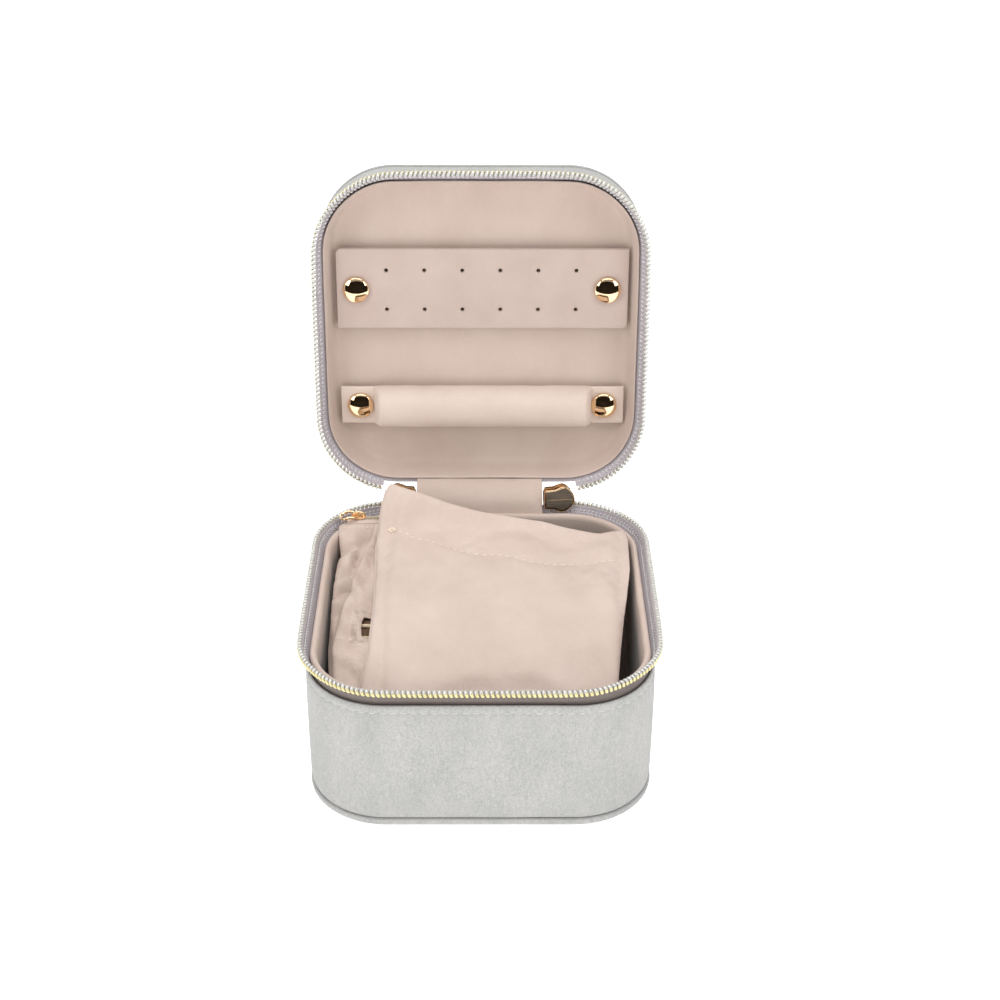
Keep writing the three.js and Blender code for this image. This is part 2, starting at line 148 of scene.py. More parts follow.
def nap(name, deep, pale, clouds, grain, fleck, relief, sheen=0.25, streak=(1, 1, 1), mid=0.7, shaded=None):
    """A brushed fabric: soft clouds where the nap lies differently, over a fine grain, both sized in mm.

    fleck is how far the grain's shade varies, relief its depth, mid the strength of a coarser grain, and
    shaded a low height, a high one and the shade below them, where light seldom reaches.
    """
    g = Graph(name, **{
        "Roughness": 0.92, "Sheen Weight": sheen, "Sheen Roughness": 0.45, "Sheen Tint": (1, 0.98, 0.96),
        "Specular IOR Level": 0.15,
    })
    patches = g.span(g.noise(clouds, 3, 0.55, streak), 0.32, 0.68)
    middle = g.noise(grain * 3.4, 2, 0.6, streak)
    fine = g.noise(grain, 2, 0.65, streak)
    colour = g.mix(patches, deep, pale)
    shade = g.math("ADD", g.span(middle, 0.3, 0.7, 1 - fleck * mid, 1 + fleck * 0.6 * mid),
                   g.span(fine, 0.28, 0.72, -fleck, fleck * 0.8))
    colour = g.mix(1.0, colour, g.grey(shade), "MULTIPLY")
    # Painted shade: the colour darkens below the high height, down to least at the low one.
    if shaded:
        height = g.add("ShaderNodeSeparateXYZ", {0: g.place["Object"]}).outputs[2]
        low, high, least = shaded
        depth = g.span(height, low * MM, high * MM, least, 1.0)
        colour = g.mix(1.0, colour, g.grey(depth), "MULTIPLY")
    height = g.math("ADD", fine, g.span(middle, 0.3, 0.7, 0, 0.8))
    return g.finish(colour, g.bump(height, relief))


def metal(name, colour, dull, roughness, brushed=(1, 1, 1), mark=0.02, share=1.0):
    """Plated metal, or metallic wire where its share is lower, with faint marks and duller patches."""
    g = Graph(name, Metallic=share)
    marks = g.noise(0.5, 3, 0.6, brushed)
    cast = g.noise(3.0, 2)
    tint = g.mix(g.span(cast, 0.3, 0.7, 0, 0.35), colour, dull)
    rough = g.span(marks, 0.3, 0.7, roughness * 0.6, roughness * 1.5)
    return g.finish(tint, g.bump(marks, mark * 0.05), rough)


def woven(name, colour, dark, pitch=0.55, relief=0.05, sheen=0.1):
    """A narrow woven tape: fine ribs along it, crossed by finer ones, from the piece's UV map."""
    g = Graph(name, **{"Roughness": 0.8, "Sheen Weight": sheen, "Sheen Roughness": 0.5})
    along = g.waves(pitch, "X", "UV")
    across = g.waves(pitch * 0.7, "Y", "UV")
    weave = g.math("MULTIPLY", along, across)
    speck = g.noise(0.4, 2)
    blotch = g.noise(9, 2)
    share = g.math("ADD", g.span(weave, 0.0, 0.7, 0.55, 0.0), g.span(speck, 0.3, 0.7, 0.0, 0.3))
    base = g.mix(share, colour, dark)
    base = g.mix(g.span(blotch, 0.3, 0.7, 0, 0.25), base, dark)
    return g.finish(base, g.bump(weave, relief))


VELVET = nap("velvet", linear(175, 175, 173), linear(186, 185, 183), 11, 0.30, 0.20, 0.14,
             sheen=0.2, streak=(1, 1, 0.45), mid=0.35)
LINING = nap("lining", linear(199, 180, 168), linear(206, 188, 177), 16, 0.28, 0.022, 0.035,
             streak=(1, 1, 0.6))
# The tray's lining has painted shade, darker from 47.4 mm down to 37 mm high, for the shadow deep in the tray.
TRAY = nap("tray_lining", linear(207, 187, 175), linear(214, 196, 184), 16, 0.28, 0.022, 0.035,
           streak=(1, 1, 0.6), shaded=(37, 47.4, 0.30))
# Dark brown cloth under the eyelet slot: painted shade.
CHANNEL_SHADE = nap("channel", linear(104, 80, 64), linear(130, 104, 86), 3, 0.3, 0.08, 0.03, sheen=0.0)
CARD = nap("card", linear(191, 172, 163), linear(197, 179, 170), 12, 0.28, 0.02, 0.03)
ROLL = nap("roll", linear(210, 192, 179), linear(217, 200, 188), 14, 0.30, 0.018, 0.035)
POUCH = nap("pouch", linear(206, 187, 176), linear(215, 197, 186), 17, 0.32, 0.022, 0.045, sheen=0.15)
INNER_POUCH = nap("inner_pouch", linear(195, 176, 164), linear(210, 192, 180), 8, 0.32, 0.03, 0.05,
                  sheen=0.15)
TAPE = woven("tape", linear(212, 206, 211), linear(172, 164, 170))
# The tape's outside is painted darker: painted shade for the shadow under the coil.
TAPE_PAINTED_SHADE = woven("tape_painted_shade", linear(128, 116, 111), linear(92, 83, 78))
BOARD = nap("board", linear(176, 164, 150), linear(192, 181, 168), 10, 0.8, 0.06, 0.03, sheen=0.0)
SILVER = metal("coil_silver", linear(226, 225, 221), linear(176, 174, 169), 0.34, share=0.45)
PALE_GOLD = metal("coil_gold", linear(232, 220, 164), linear(204, 186, 124), 0.32, share=0.4)
ROSE_GOLD = metal("gold", linear(255, 224, 182), linear(250, 206, 158), 0.05, mark=0.01)
# The sliders' inset faces: a darker metal colour, painted reflection of the dark room in front.
FACE_PAINTED_REFLECTION = metal("face_painted_reflection", linear(138, 126, 112), linear(108, 97, 83), 0.24, (0.1, 1, 1), 0.03, share=0.5)
THREAD, EYELET_THREAD, GREY_THREAD, WHITE_THREAD = (
    nap(name, linear(*deep), linear(*pale), 2, 0.25, 0.05, 0.02, sheen=0.1) for name, deep, pale in (
        ("thread", (232, 214, 196), (242, 228, 210)), ("eyelet_thread", (204, 186, 172), (218, 201, 188)),
        ("grey_thread", (198, 197, 193), (214, 213, 210)), ("white_thread", (214, 212, 212), (236, 235, 235)),
    )
)
CORD = nap("cord", linear(222, 198, 168), linear(246, 228, 202), 1.5, 0.25, 0.10, 0.04, sheen=0.1)
ZIP_TEETH = nap("small_teeth", linear(178, 168, 146), linear(204, 196, 172), 1.5, 0.3, 0.08, 0.02, sheen=0.0)


# ---------------------------------------------------------------- mesh building
def build(name, points, faces, materials, body, slot, replaces=(), sharp=38, indices=None, uv=None,
          blend=None):
    """A mesh piece from points in millimetres. uv is one (u, v) for each corner of each face."""
    mesh = bpy.data.meshes.new(name)
    mesh.from_pydata((np.asarray(points, float) * MM).tolist(), [], faces)
    materials = materials if isinstance(materials, (list, tuple)) else [materials]
    for material in materials:
        mesh.materials.append(material)
    if indices is not None:
        mesh.polygons.foreach_set("material_index", np.asarray(indices, np.int32))
    if uv is not None:
        layer = mesh.uv_layers.new(name="UVMap")
        layer.data.foreach_set("uv", (np.asarray(uv, np.float32) * MM).ravel())
    mesh.update()
    bm = bmesh.new()
    bm.from_mesh(mesh)
    bmesh.ops.recalc_face_normals(bm, faces=bm.faces)
    bm.to_mesh(mesh)
    bm.free()
    mesh.shade_smooth()
    mesh.set_sharp_from_angle(angle=math.radians(sharp))
    piece = bpy.data.objects.new(name, mesh)
    scene.collection.objects.link(piece)
    if blend:
        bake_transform(piece)
    else:
        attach(piece, body)
    if replaces:
        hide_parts(*replaces)
    return piece


def gather(parts):
    """Joins (points, faces) pairs into one."""
    points, faces, count = [], [], 0
    for some, more in parts:
        points.append(np.asarray(some, float))
        faces.extend([tuple(int(i) + count for i in face) for face in more])
        count += len(some)
    return np.vstack(points), faces


def unit(vectors):
    """Vectors, one to a row, each scaled to length 1."""
    return vectors / np.linalg.norm(vectors, axis=1)[:, None]


def lengths(path):
    """The distance along a path to each of its points."""
    return np.concatenate([[0], np.cumsum(np.linalg.norm(np.diff(path, axis=0), axis=1))])


def squarer(value, power):
    """A sine or cosine, bent so that the ellipse it draws is squarer."""
    return np.sign(value) * np.abs(value) ** power


def skin(rows, sides, looped=False, ring=True):
    """Quads between rows of points. A ring closes each row, and looped joins the last row to the first."""
    faces = []
    for i in range(rows if looped else rows - 1):
        j = (i + 1) % rows
        for k in range(sides if ring else sides - 1):
            n = (k + 1) % sides
            faces.append((i * sides + k, j * sides + k, j * sides + n, i * sides + n))
    return faces


def ends(rows, sides):
    """The two flat faces that close a skin at its first and last rows."""
    return [tuple(range(sides)), tuple((rows - 1) * sides + k for k in range(sides))]


def base_place(points):
    return points


def lid_place(points):
    """From the lid drawn shut, with z its depth behind the hinge plane, to the open lid."""
    points = np.asarray(points, float)
    up, depth = HINGE_Y - points[:, 1], points[:, 2]
    return np.stack([
        points[:, 0],
        HINGE_Y + up * LEAN_SIN + depth * LEAN_COS,
        HINGE_Z + up * LEAN_COS - depth * LEAN_SIN,
    ], 1)


def rim(s):
    """Inner points and outward normals at distances s round the case, clockwise from behind."""
    s = np.mod(np.asarray(s, float), LOOP)
    base, turn = np.zeros(s.shape + (2,)), np.zeros(s.shape)
    base[..., 0], base[..., 1] = s, CORNER
    corners = [(1, 1), (1, -1), (-1, -1), (-1, 1)]
    start = CORNER
    for k, corner in enumerate(corners):
        here = np.array(corner) * CORNER
        there = np.array(corners[(k + 1) % 4]) * CORNER
        bend = (s >= start) & (s < start + ARC)
        base[bend] = here
        turn[bend] = (k + (s[bend] - start) / ARC) * math.pi / 2
        start += ARC
        run = (s >= start) & (s < start + SIDE)
        share = ((s[run] - start) / SIDE)[:, None]
        base[run] = here * (1 - share) + there * share
        turn[run] = (k + 1) * math.pi / 2
        start += SIDE
    return base, np.stack([np.sin(turn), np.cos(turn)], -1)


def around(s, half, z):
    """Points at distances s round the case, half its width out from the middle, at height z."""
    base, normal = rim(s)
    flat = base + normal * (np.asarray(half, float)[..., None] - CORNER)
    height = np.broadcast_to(np.asarray(z, float)[..., None], flat.shape[:-1] + (1,))
    return np.concatenate([flat, height], -1)


def stops(first, last, gap=2.6):
    """Distances from first to last, with every change from straight to round among them."""
    marks = [first, last]
    for lap in (0, LOOP):
        start = CORNER
        for _ in range(4):
            marks += [start + lap, start + ARC + lap]
            start += ARC + SIDE
    marks = sorted(m for m in set(marks) if first <= m <= last)
    out = [marks[0]]
    for a, b in zip(marks, marks[1:]):
        steps = max(1, round((b - a) / gap))
        out += list(np.linspace(a, b, steps + 1)[1:])
    return np.array(out)


def pulled_in(amounts, spread):
    """A function of the distance round the case: how far a rim pulls in at the corners opposite the hinge."""
    def ease(s):
        pairs = zip(FAR_CORNERS, amounts)
        return sum(amount * np.exp(-(((s - middle) / spread) ** 2)) for middle, amount in pairs)
    return ease


def carried(section, s, ease, root, fade, wobble):
    """A section of (half width, height) points at each distance s round the case, eased in past its root."""
    every, half = s.repeat(len(section)), np.tile(section[:, 0], len(s))
    if ease is not None:
        half = half - ease(every) * np.clip((half - root) / fade, 0, 1)
    points = around(every, half, np.tile(section[:, 1], len(s))).reshape(-1, 3)
    return points if wobble is None else wobble(points)


def sweep(section, s, closed, place=base_place, wobble=None, ease=None, root=51.5):
    """Carries a closed section round the case. Returns points, faces, uv."""
    section = np.asarray(section, float)
    sides, count = len(section), len(s)
    run = lengths(np.vstack([section, section[:1]]))
    faces, uv = skin(count, sides, closed), []
    for i in range(count if closed else count - 1):
        u0, u1 = s[i], s[i + 1] if i + 1 < count else s[i] + (s[1] - s[0])
        for v0, v1 in zip(run, run[1:]):
            uv += [(u0, v0), (u1, v0), (u1, v1), (u0, v1)]
    if not closed:
        faces += ends(count, sides)
        uv += [(s[at] + half, height) for at in (0, -1) for half, height in section]
    return place(carried(section, s, ease, root, 2, wobble)), faces, uv


def dished(profile, s, place=base_place, wobble=None, ease=None):
    """A closed shape from a profile that starts and ends near the middle, where flat faces close it."""
    profile = np.asarray(profile, float)
    sides, count = len(profile), len(s)
    faces = skin(count, sides, looped=True, ring=False)
    faces += [tuple(i * sides + k for i in range(count)) for k in (0, sides - 1)]
    return place(carried(profile, s, ease, 43, 6, wobble)), faces


def catmull(points, steps):
    """A smooth line through the points."""
    p = np.asarray(points, float)
    p = np.vstack([p[:1], p, p[-1:]])
    out = []
    t = np.linspace(0, 1, steps, endpoint=False)[:, None]
    for a, b, c, d in zip(p, p[1:], p[2:], p[3:]):
        bend, twist = 2 * a - 5 * b + 4 * c - d, 3 * b - a - 3 * c + d
        out.append(0.5 * (2 * b + (c - a) * t + bend * t**2 + twist * t**3))
    out.append(p[-1:])
    return np.vstack(out)


def soften(points, times):
    """Cuts the corners of a closed outline, a quarter of each side at a time."""
    points = np.asarray(points, float)
    for _ in range(times):
        after = np.roll(points, -1, 0)
        points = np.stack([points * 0.75 + after * 0.25, points * 0.25 + after * 0.75], 1)
        points = points.reshape(-1, points.shape[-1])
    return points


def rounded(outline, radius, steps=5):
    """A closed outline with each corner rounded."""
    out = []
    ring = [np.array(p, float) for p in outline]
    for before, at, after in zip(ring[-1:] + ring[:-1], ring, ring[1:] + ring[:1]):
        one, two = before - at, after - at
        a = at + one * min(0.49, radius / np.linalg.norm(one))
        b = at + two * min(0.49, radius / np.linalg.norm(two))
        for t in np.linspace(0, 1, steps):
            out.append(tuple(a * (1 - t) ** 2 + at * 2 * t * (1 - t) + b * t**2))
    return out


def lathe(profile, steps=40):
    """Turns (radius, height) points round Z. A radius of 0 at either end closes the shape."""
    points, rings = [], []
    for radius, height in profile:
        if radius < 1e-6:
            rings.append([len(points)])
            points.append((0, 0, height))
        else:
            rings.append(list(range(len(points), len(points) + steps)))
            for n in range(steps):
                angle = 2 * math.pi * n / steps
                points.append((radius * math.cos(angle), radius * math.sin(angle), height))
    faces = []
    for low, high in zip(rings, rings[1:]):
        for n in range(steps):
            m = (n + 1) % steps
            if len(low) == 1:
                faces.append((low[0], high[m], high[n]))
            elif len(high) == 1:
                faces.append((low[n], low[m], high[0]))
            else:
                faces.append((low[n], low[m], high[m], high[n]))
    return np.array(points), faces


def tube(path, radius, sides=8, reference=(0.03, 0.02, 1.0), lobes=0, lay=0.0, closed=False):
    """A round tube along a path. With lobes it is twisted strands, whose lay is one turn's length."""
    path = np.asarray(path, float)
    count = len(path)
    tangent = unit(np.roll(path, -1, 0) - np.roll(path, 1, 0) if closed else np.gradient(path, axis=0))
    side = unit(np.cross(tangent, np.broadcast_to(np.asarray(reference, float), tangent.shape)))
    top = np.cross(side, tangent)
    grid = np.broadcast_to(np.arange(sides) * 2 * math.pi / sides, (count, sides))
    size = np.broadcast_to(np.asarray(radius, float).reshape(-1, 1), (count, sides))
    if lobes:
        twist = 2 * math.pi * lengths(path) / lay
        size = size * (0.78 + 0.224 * np.abs(np.cos(lobes / 2 * (grid - twist[:, None]))))
    points = (path[:, None] + side[:, None] * (np.cos(grid) * size)[..., None]
              + top[:, None] * (np.sin(grid) * size)[..., None]).reshape(-1, 3)
    return points, skin(count, sides, closed) + ([] if closed else ends(count, sides))


def thread(path, normals, length, gap, radius, sink=0.0, lift=0.12):
    """Stitches laid along a path: short bowed capsules whose ends dive into the cloth."""
    path, normals = np.asarray(path, float), np.asarray(normals, float)
    along = lengths(path)
    parts, start = [], gap / 2
    while start + length < along[-1]:
        at = start + length * np.linspace(0, 1, 6)
        line = np.stack([np.interp(at, along, path[:, k]) for k in range(3)], 1)
        face = np.stack([np.interp(at, along, normals[:, k]) for k in range(3)], 1)
        bow = np.sin(np.linspace(0, math.pi, 6))[:, None] * (radius + lift) - radius - sink
        girth = radius * np.array([0.55, 0.9, 1, 1, 0.9, 0.55])
        parts.append(tube(line + face * bow, girth, 6, reference=face[2]))
        start += length + gap
    return gather(parts)


def within(outline, xy):
    """Which of the points lie inside the closed outline."""
    x, y = xy[:, 0], xy[:, 1]
    hit = np.zeros(len(xy), bool)
    for (x0, y0), (x1, y1) in zip(outline, np.roll(outline, -1, 0)):
        hit ^= ((y0 > y) != (y1 > y)) & (x < (x1 - x0) * (y - y0) / (y1 - y0 + 1e-12) + x0)
    return hit


def resample(outline, gap):
    """A closed outline as points an even gap apart."""
    outline = np.asarray(outline, float)
    ring = np.vstack([outline, outline[:1]])
    along = lengths(ring)
    at = np.linspace(0, along[-1], max(8, int(along[-1] / gap)), endpoint=False)
    return np.stack([np.interp(at, along, ring[:, k]) for k in range(2)], 1)


def distance_to(line, xy, closed=True):
    """Distance from each point to a line, closed on itself or open."""
    line = np.asarray(line, float)
    after = np.roll(line, -1, 0)
    best = np.full(len(xy), 1e9)
    for a, b in zip(line, after) if closed else zip(line[:-1], after[:-1]):
        d = b - a
        t = np.clip(((xy - a) @ d) / max(d @ d, 1e-12), 0, 1)
        best = np.minimum(best, np.linalg.norm(xy - (a + t[:, None] * d), axis=1))
    return best


def patch(outline, holes=(), gap=1.6):
    """Triangles that fill an outline, evenly, with holes left out."""
    rings = [resample(outline, gap)] + [np.asarray(h, float) for h in holes]
    points, edges = [], []
    for ring in rings:
        first = len(points)
        points += [tuple(p) for p in ring]
        edges += [(first + n, first + (n + 1) % len(ring)) for n in range(len(ring))]
    low, high = rings[0].min(0), rings[0].max(0)
    rows = np.arange(low[1], high[1], gap * 0.866)
    columns = np.arange(low[0], high[0], gap)
    grid = np.array([(x + n % 2 * gap / 2, y) for n, y in enumerate(rows) for x in columns])
    keep = within(rings[0], grid)
    for n, ring in enumerate(rings):
        near = gap * 0.55 if n == 0 else gap * 0.35
        keep &= distance_to(ring, grid) > near
        if n:
            keep &= ~within(ring, grid)
    points += [tuple(p) for p in grid[keep]]
    vertices, _, faces, *_ = delaunay_2d_cdt([Vector(p) for p in points], edges, [], 1, 1e-5)
    vertices = np.array([tuple(v) for v in vertices])
    middles = np.array([vertices[list(f)].mean(0) for f in faces])
    keep = np.ones(len(faces), bool)
    for ring in rings[1:]:
        keep &= ~within(ring, middles)
    return vertices, [tuple(f) for f, k in zip(faces, keep) if k]


def border(faces):
    """The directed edges that only one face has."""
    seen = {}
    for face in faces:
        for a, b in zip(face, face[1:] + face[:1]):
            seen[(a, b)] = True
    return [(a, b) for a, b in seen if (b, a) not in seen]


def vertex_normals(points, faces):
    """Unit normals at the points of a triangle mesh."""
    normals, tri = np.zeros_like(points), np.array(faces)
    across = np.cross(points[tri[:, 1]] - points[tri[:, 0]], points[tri[:, 2]] - points[tri[:, 0]])
    for k in range(3):
        np.add.at(normals, tri[:, k], across)
    length = np.linalg.norm(normals, axis=1)[:, None]
    return normals / np.maximum(length, 1e-12)


def thicken(points, faces, thick):
    """A closed cloth from one surface: the surface, another below it, and a rounded edge between them."""
    points = np.asarray(points, float)
    away = vertex_normals(points, faces)
    under = points - away * thick
    edges = border(faces)
    rim_points = sorted({i for edge in edges for i in edge})
    outward = {i: np.zeros(3) for i in rim_points}
    for a, b in edges:
        out = np.cross(points[b] - points[a], away[a])
        out /= max(np.linalg.norm(out), 1e-12)
        outward[a] += out
        outward[b] += out
    middle, extra, bulge = {}, [], 0.35
    for i in rim_points:
        out = outward[i] / max(np.linalg.norm(outward[i]), 1e-12)
        middle[i] = 2 * len(points) + len(extra)
        extra.append((points[i] + under[i]) / 2 + out * thick * bulge)
    n = len(points)
    solid = list(faces) + [tuple(n + i for i in reversed(face)) for face in faces]
    for a, b in edges:
        solid.append((b, a, middle[a], middle[b]))
        solid.append((middle[b], middle[a], n + a, n + b))
    return np.vstack([points, under, np.array(extra)]), solid


def bevelled(outlines, thick, bevel, resolution=3):
    """A plate in X and Y from closed outlines, holes among them, with rounded edges, centred on z = 0."""
    curve = bpy.data.curves.new("plate", "CURVE")
    curve.dimensions, curve.fill_mode = "2D", "BOTH"
    curve.extrude, curve.bevel_depth = thick / 2 - bevel, bevel
    curve.bevel_resolution, curve.offset = resolution, -bevel
    for outline in outlines:
        spline = curve.splines.new("POLY")
        spline.points.add(len(outline) - 1)
        for point, (x, y) in zip(spline.points, outline):
            point.co = (x, y, 0, 1)
        spline.use_cyclic_u = True
    holder = bpy.data.objects.new("plate", curve)
    scene.collection.objects.link(holder)
    mesh = bpy.data.meshes.new_from_object(holder.evaluated_get(bpy.context.evaluated_depsgraph_get()))
    bm = bmesh.new()
    bm.from_mesh(mesh)
    bmesh.ops.remove_doubles(bm, verts=bm.verts, dist=1e-4)
    bm.verts.ensure_lookup_table()
    points = np.array([v.co[:] for v in bm.verts])
    faces = [tuple(v.index for v in f.verts) for f in bm.faces]
    bm.free()
    bpy.data.objects.remove(holder)
    bpy.data.meshes.remove(mesh)
    return points, faces


def moved(shape, columns, at=(0, 0, 0)):
    """A shape turned so that its X, Y and Z run along the three columns, then set down at a point."""
    points, faces = shape
    return np.asarray(points) @ np.array(columns, float) + np.array(at, float), faces


def finish_node(name, material):
    """A CAD node that stays in view gets a finished material."""
    mesh = NODES[name].data
    mesh.materials.clear()
    mesh.materials.append(material)


FULL = stops(0, LOOP, 2.6)[:-1]


def crumple(amount, size, seed):
    """Gently uneven cloth: every point moves along X, Y and Z by smooth noise."""
    def shift(points):
        out = np.array(points, float)
        for n, p in enumerate(points):
            v = noise.noise_vector(Vector((p[0] / size + seed, p[1] / size, p[2] / size)))
            out[n] += np.array(v) * amount
        return out
    return shift


# ---------------------------------------------------------------- base shell
def shell():
    wall = [
        (51.4, 42.2), (51.45, 43.5), (51.65, 44.1), (52.0, 44.4), (52.38, 44.32), (52.62, 43.9),
        (52.74, 43.1), (52.70, 42.3), (52.52, 41.9), (52.70, 41.5), (52.82, 40.6), (52.88, 37),
        (52.9, 30), (52.9, 15), (52.84, 6), (52.7, 3.7), (52.4, 2.85), (51.9, 2.6), (51.45, 2.8),
        (51.4, 3.6),
    ]
    bottom = [
        (30, 2.25), (51.4, 2.25), (52.3, 2.22), (52.8, 1.95), (53.0, 1.4), (52.95, 0.75), (52.6, 0.25),
        (52.1, 0.0), (30, 0.0),
    ]
    lid_wall = [
        (51.4, 7.6), (51.45, 6.6), (51.65, 6.1), (52.05, 5.85), (52.45, 5.95), (52.68, 6.5), (52.74, 7.4),
        (52.70, 8.1), (52.54, 8.45), (52.70, 8.8), (52.84, 9.8), (52.9, 12), (52.86, 15.4), (52.7, 16.7),
        (52.3, 17.15), (51.7, 17.2), (51.4, 16.8),
    ]
    top = [
        (30, 17.4), (51.3, 17.4), (52.35, 17.42), (52.95, 17.65), (53.2, 18.2), (53.05, 18.8), (52.5, 19.2),
        (51.6, 19.3), (30, 19.3),
    ]
    parts = (
        ("base", "base_wall", wall, "base_bottom", bottom, base_place, 41.9, 1),
        ("lid", "lid_wall", lid_wall, "lid_top", top, lid_place, 8.45, 4),
    )
    for body, side, section, panel, profile, place, groove, seed in parts:
        points, faces, uv = sweep(section, FULL, True, place, wobble=crumple(0.10, 14, seed))
        build(f"velvet_{side}", points, faces, VELVET, body, "velvet", [f"{side}_shell"], uv=uv)
        build(f"velvet_{panel}", *dished(profile, FULL, place), VELVET, body, "velvet", [f"{panel}_panel"])
    at, half = stops(0, LOOP, 0.8), 52.56  # the stitches lie in the groove round each wall
    for body, side, section, panel, profile, place, groove, seed in parts:
        level = np.full(len(at), groove)
        line, outer = (place(around(at, np.full(len(at), half + out), level)) for out in (0, 1))
        shape = thread(line, outer - line, 2.3, 0.75, 0.2, 0.02, 0.05)
        build(f"{body}_topstitch", *shape, GREY_THREAD, body, "velvet")


# ---------------------------------------------------------------- the zip
PITCH, COIL_HALF, COIL_Z = 1.5, 54.36, 50.22  # a tooth's length, and the middle of the coil's wire
CLEAR = 0.4  # from an end of the coil to its first turn
FLAP = (18.6, LOOP - 19.9)  # where the cloth hinge ends
RIMS = {
    "base": {"place": base_place, "flip": lambda z: z, "ease": pulled_in((1.7, 0.9), 15), "root": 51.5,
             "coil": (22.2, LOOP - 23.4)},
    "lid": {"place": lid_place, "flip": lambda z: MIRROR - z, "ease": pulled_in((1.2, 1.2), 19), "root": 51.0,
            "coil": (32.6, LOOP - CORNER - math.radians(12) * REACH)},
}


def on_rim(part, s, half, z):
    """Points given beside the base's rim, on the base or mirrored onto the lid."""
    return RIMS[part]["place"](around(s, half, RIMS[part]["flip"](z)))


def zips():
    """The tape, the coil sewn to its edge and the stitches that hold the coil, on the base and on the lid."""
    tapes = {
        "base": [
            (51.0, 42.4), (51.0, 44.4), (51.1, 45.2), (51.6, 46.1), (52.5, 47.2), (53.15, 48.3),
            (53.35, 49.3), (53.35, 50.05), (53.55, 50.25), (53.75, 50.05), (53.75, 49.2), (53.5, 48.1),
            (52.8, 46.9), (51.9, 45.8), (51.45, 45.0), (51.35, 44.2), (51.35, 42.4),
        ],
        "lid": [
            (51.0, 43.2), (51.05, 45.0), (51.35, 46.2), (51.9, 47.0), (52.7, 47.8), (53.2, 48.6),
            (53.35, 49.4), (53.35, 50.05), (53.55, 50.25), (53.75, 50.05), (53.75, 49.3), (53.55, 48.3),
            (53.0, 47.4), (52.2, 46.6), (51.65, 45.8), (51.35, 44.8), (51.3, 43.2),
        ],
    }
    for part, outline in tapes.items():
        tape(part, outline)
        teeth = coil(part)
        tape_stitches(part, teeth)


def tape(part, outline):
    facing_in = 9  # the sides of the outline before this one face into the case
    rim_ = RIMS[part]
    first, last = rim_["coil"]
    runs = [(*FLAP, outline)]
    if part == "lid":  # beside the sliders the tape's edge is folded back
        folded = [(min(half, 52.9), min(z, 47.6)) for half, z in outline]
        runs = [(FLAP[0], first - CLEAR, folded), (first - CLEAR, last + CLEAR, outline),
                (last + CLEAR, FLAP[1], folded)]
    shapes, uv, indices, sides = [], [], [], len(outline)
    for start, stop, outline in runs:
        s = stops(start, stop)
        section = [(half, rim_["flip"](z)) for half, z in outline]
        points, faces, corners = sweep(section, s, False, rim_["place"], ease=rim_["ease"], root=rim_["root"])
        shapes.append((points, faces))
        uv += corners
        # The outward sides take the darker tape, a painted shade.
        indices += [int(n % sides >= facing_in) for n in range(sides * (len(s) - 1))] + [0, 0]
    build(f"{part}_tape", *gather(shapes), [TAPE, TAPE_PAINTED_SHADE], part, "tape", [f"{part}_zip_tape"],
          uv=uv, indices=indices)


def coil(part):
    """One wire wound flat, a turn for each tooth, gold outside and silver within. Returns how many."""
    (first, last), ease = RIMS[part]["coil"], RIMS[part]["ease"]
    teeth, steps, sides = int((last - first) / PITCH), 14, 6
    turn = np.arange(teeth * steps + 1) / steps
    at = first + CLEAR + turn * PITCH * (last - first - 2 * CLEAR) / (teeth * PITCH)
    cosine, sine = np.cos(2 * math.pi * turn), np.sin(2 * math.pi * turn)
    half, height = COIL_HALF + 0.56 * squarer(cosine, 0.75), COIL_Z + 0.88 * squarer(sine, 0.75)
    wire = on_rim(part, at, half - ease(at), height)
    ahead = unit(np.gradient(on_rim(part, at, COIL_HALF - ease(at), np.full(len(at), COIL_Z)), axis=0))
    tangent = unit(np.gradient(wire, axis=0))
    one = unit(np.cross(tangent, ahead))
    two = np.cross(tangent, one)
    broad, slim = 0.54, 0.35  # the wire is pressed a little flat
    spread = np.arange(sides) * 2 * math.pi / sides
    points = (wire[:, None] + one[:, None] * (np.cos(spread) * slim)[:, None]
              + two[:, None] * (np.sin(spread) * broad)[:, None]).reshape(-1, 3)
    golden = (cosine > 0.1) & (sine < 0.3)
    faces = skin(len(wire), sides) + ends(len(wire), sides)
    build(f"{part}_coil", points, faces, [SILVER, PALE_GOLD], part, "teeth", [f"{part}_zip_teeth"],
          indices=[*golden[:-1].repeat(sides).astype(int), 0, 0], sharp=80)
    return teeth


def tape_stitches(part, teeth):
    """Two rows of slanting stitches on the inside of the tape, which hold its coil."""
    first, ease = RIMS[part]["coil"][0], RIMS[part]["ease"]
    rows = (((53.22, 53.06), (49.0, 48.35), 0.35), ((52.98, 52.66), (48.2, 47.65), -0.35))
    bow, girth = np.array([[0.0], [0.16], [0.16], [0.0]]), np.array([0.12, 0.21, 0.21, 0.12])
    parts = []
    for n in range(teeth):
        middle = np.full(2, first + CLEAR + (n + 0.5) * PITCH)
        for halves, heights, slant in rows:
            half, z = np.array(halves), np.array(heights)
            start, stop = on_rim(part, middle + [slant, -slant], half - 0.05 - ease(middle), z)
            under, over = on_rim(part, middle, half[0] - np.array([0, 1.0]), z[0] + np.array([0, 0.6]))
            inner = (over - under) / np.linalg.norm(over - under)
            parts.append(tube(np.linspace(start, stop, 4) + inner * bow, girth, 5, reference=inner))
    build(f"{part}_tape_stitches", *gather(parts), WHITE_THREAD, part, "tape", sharp=80)


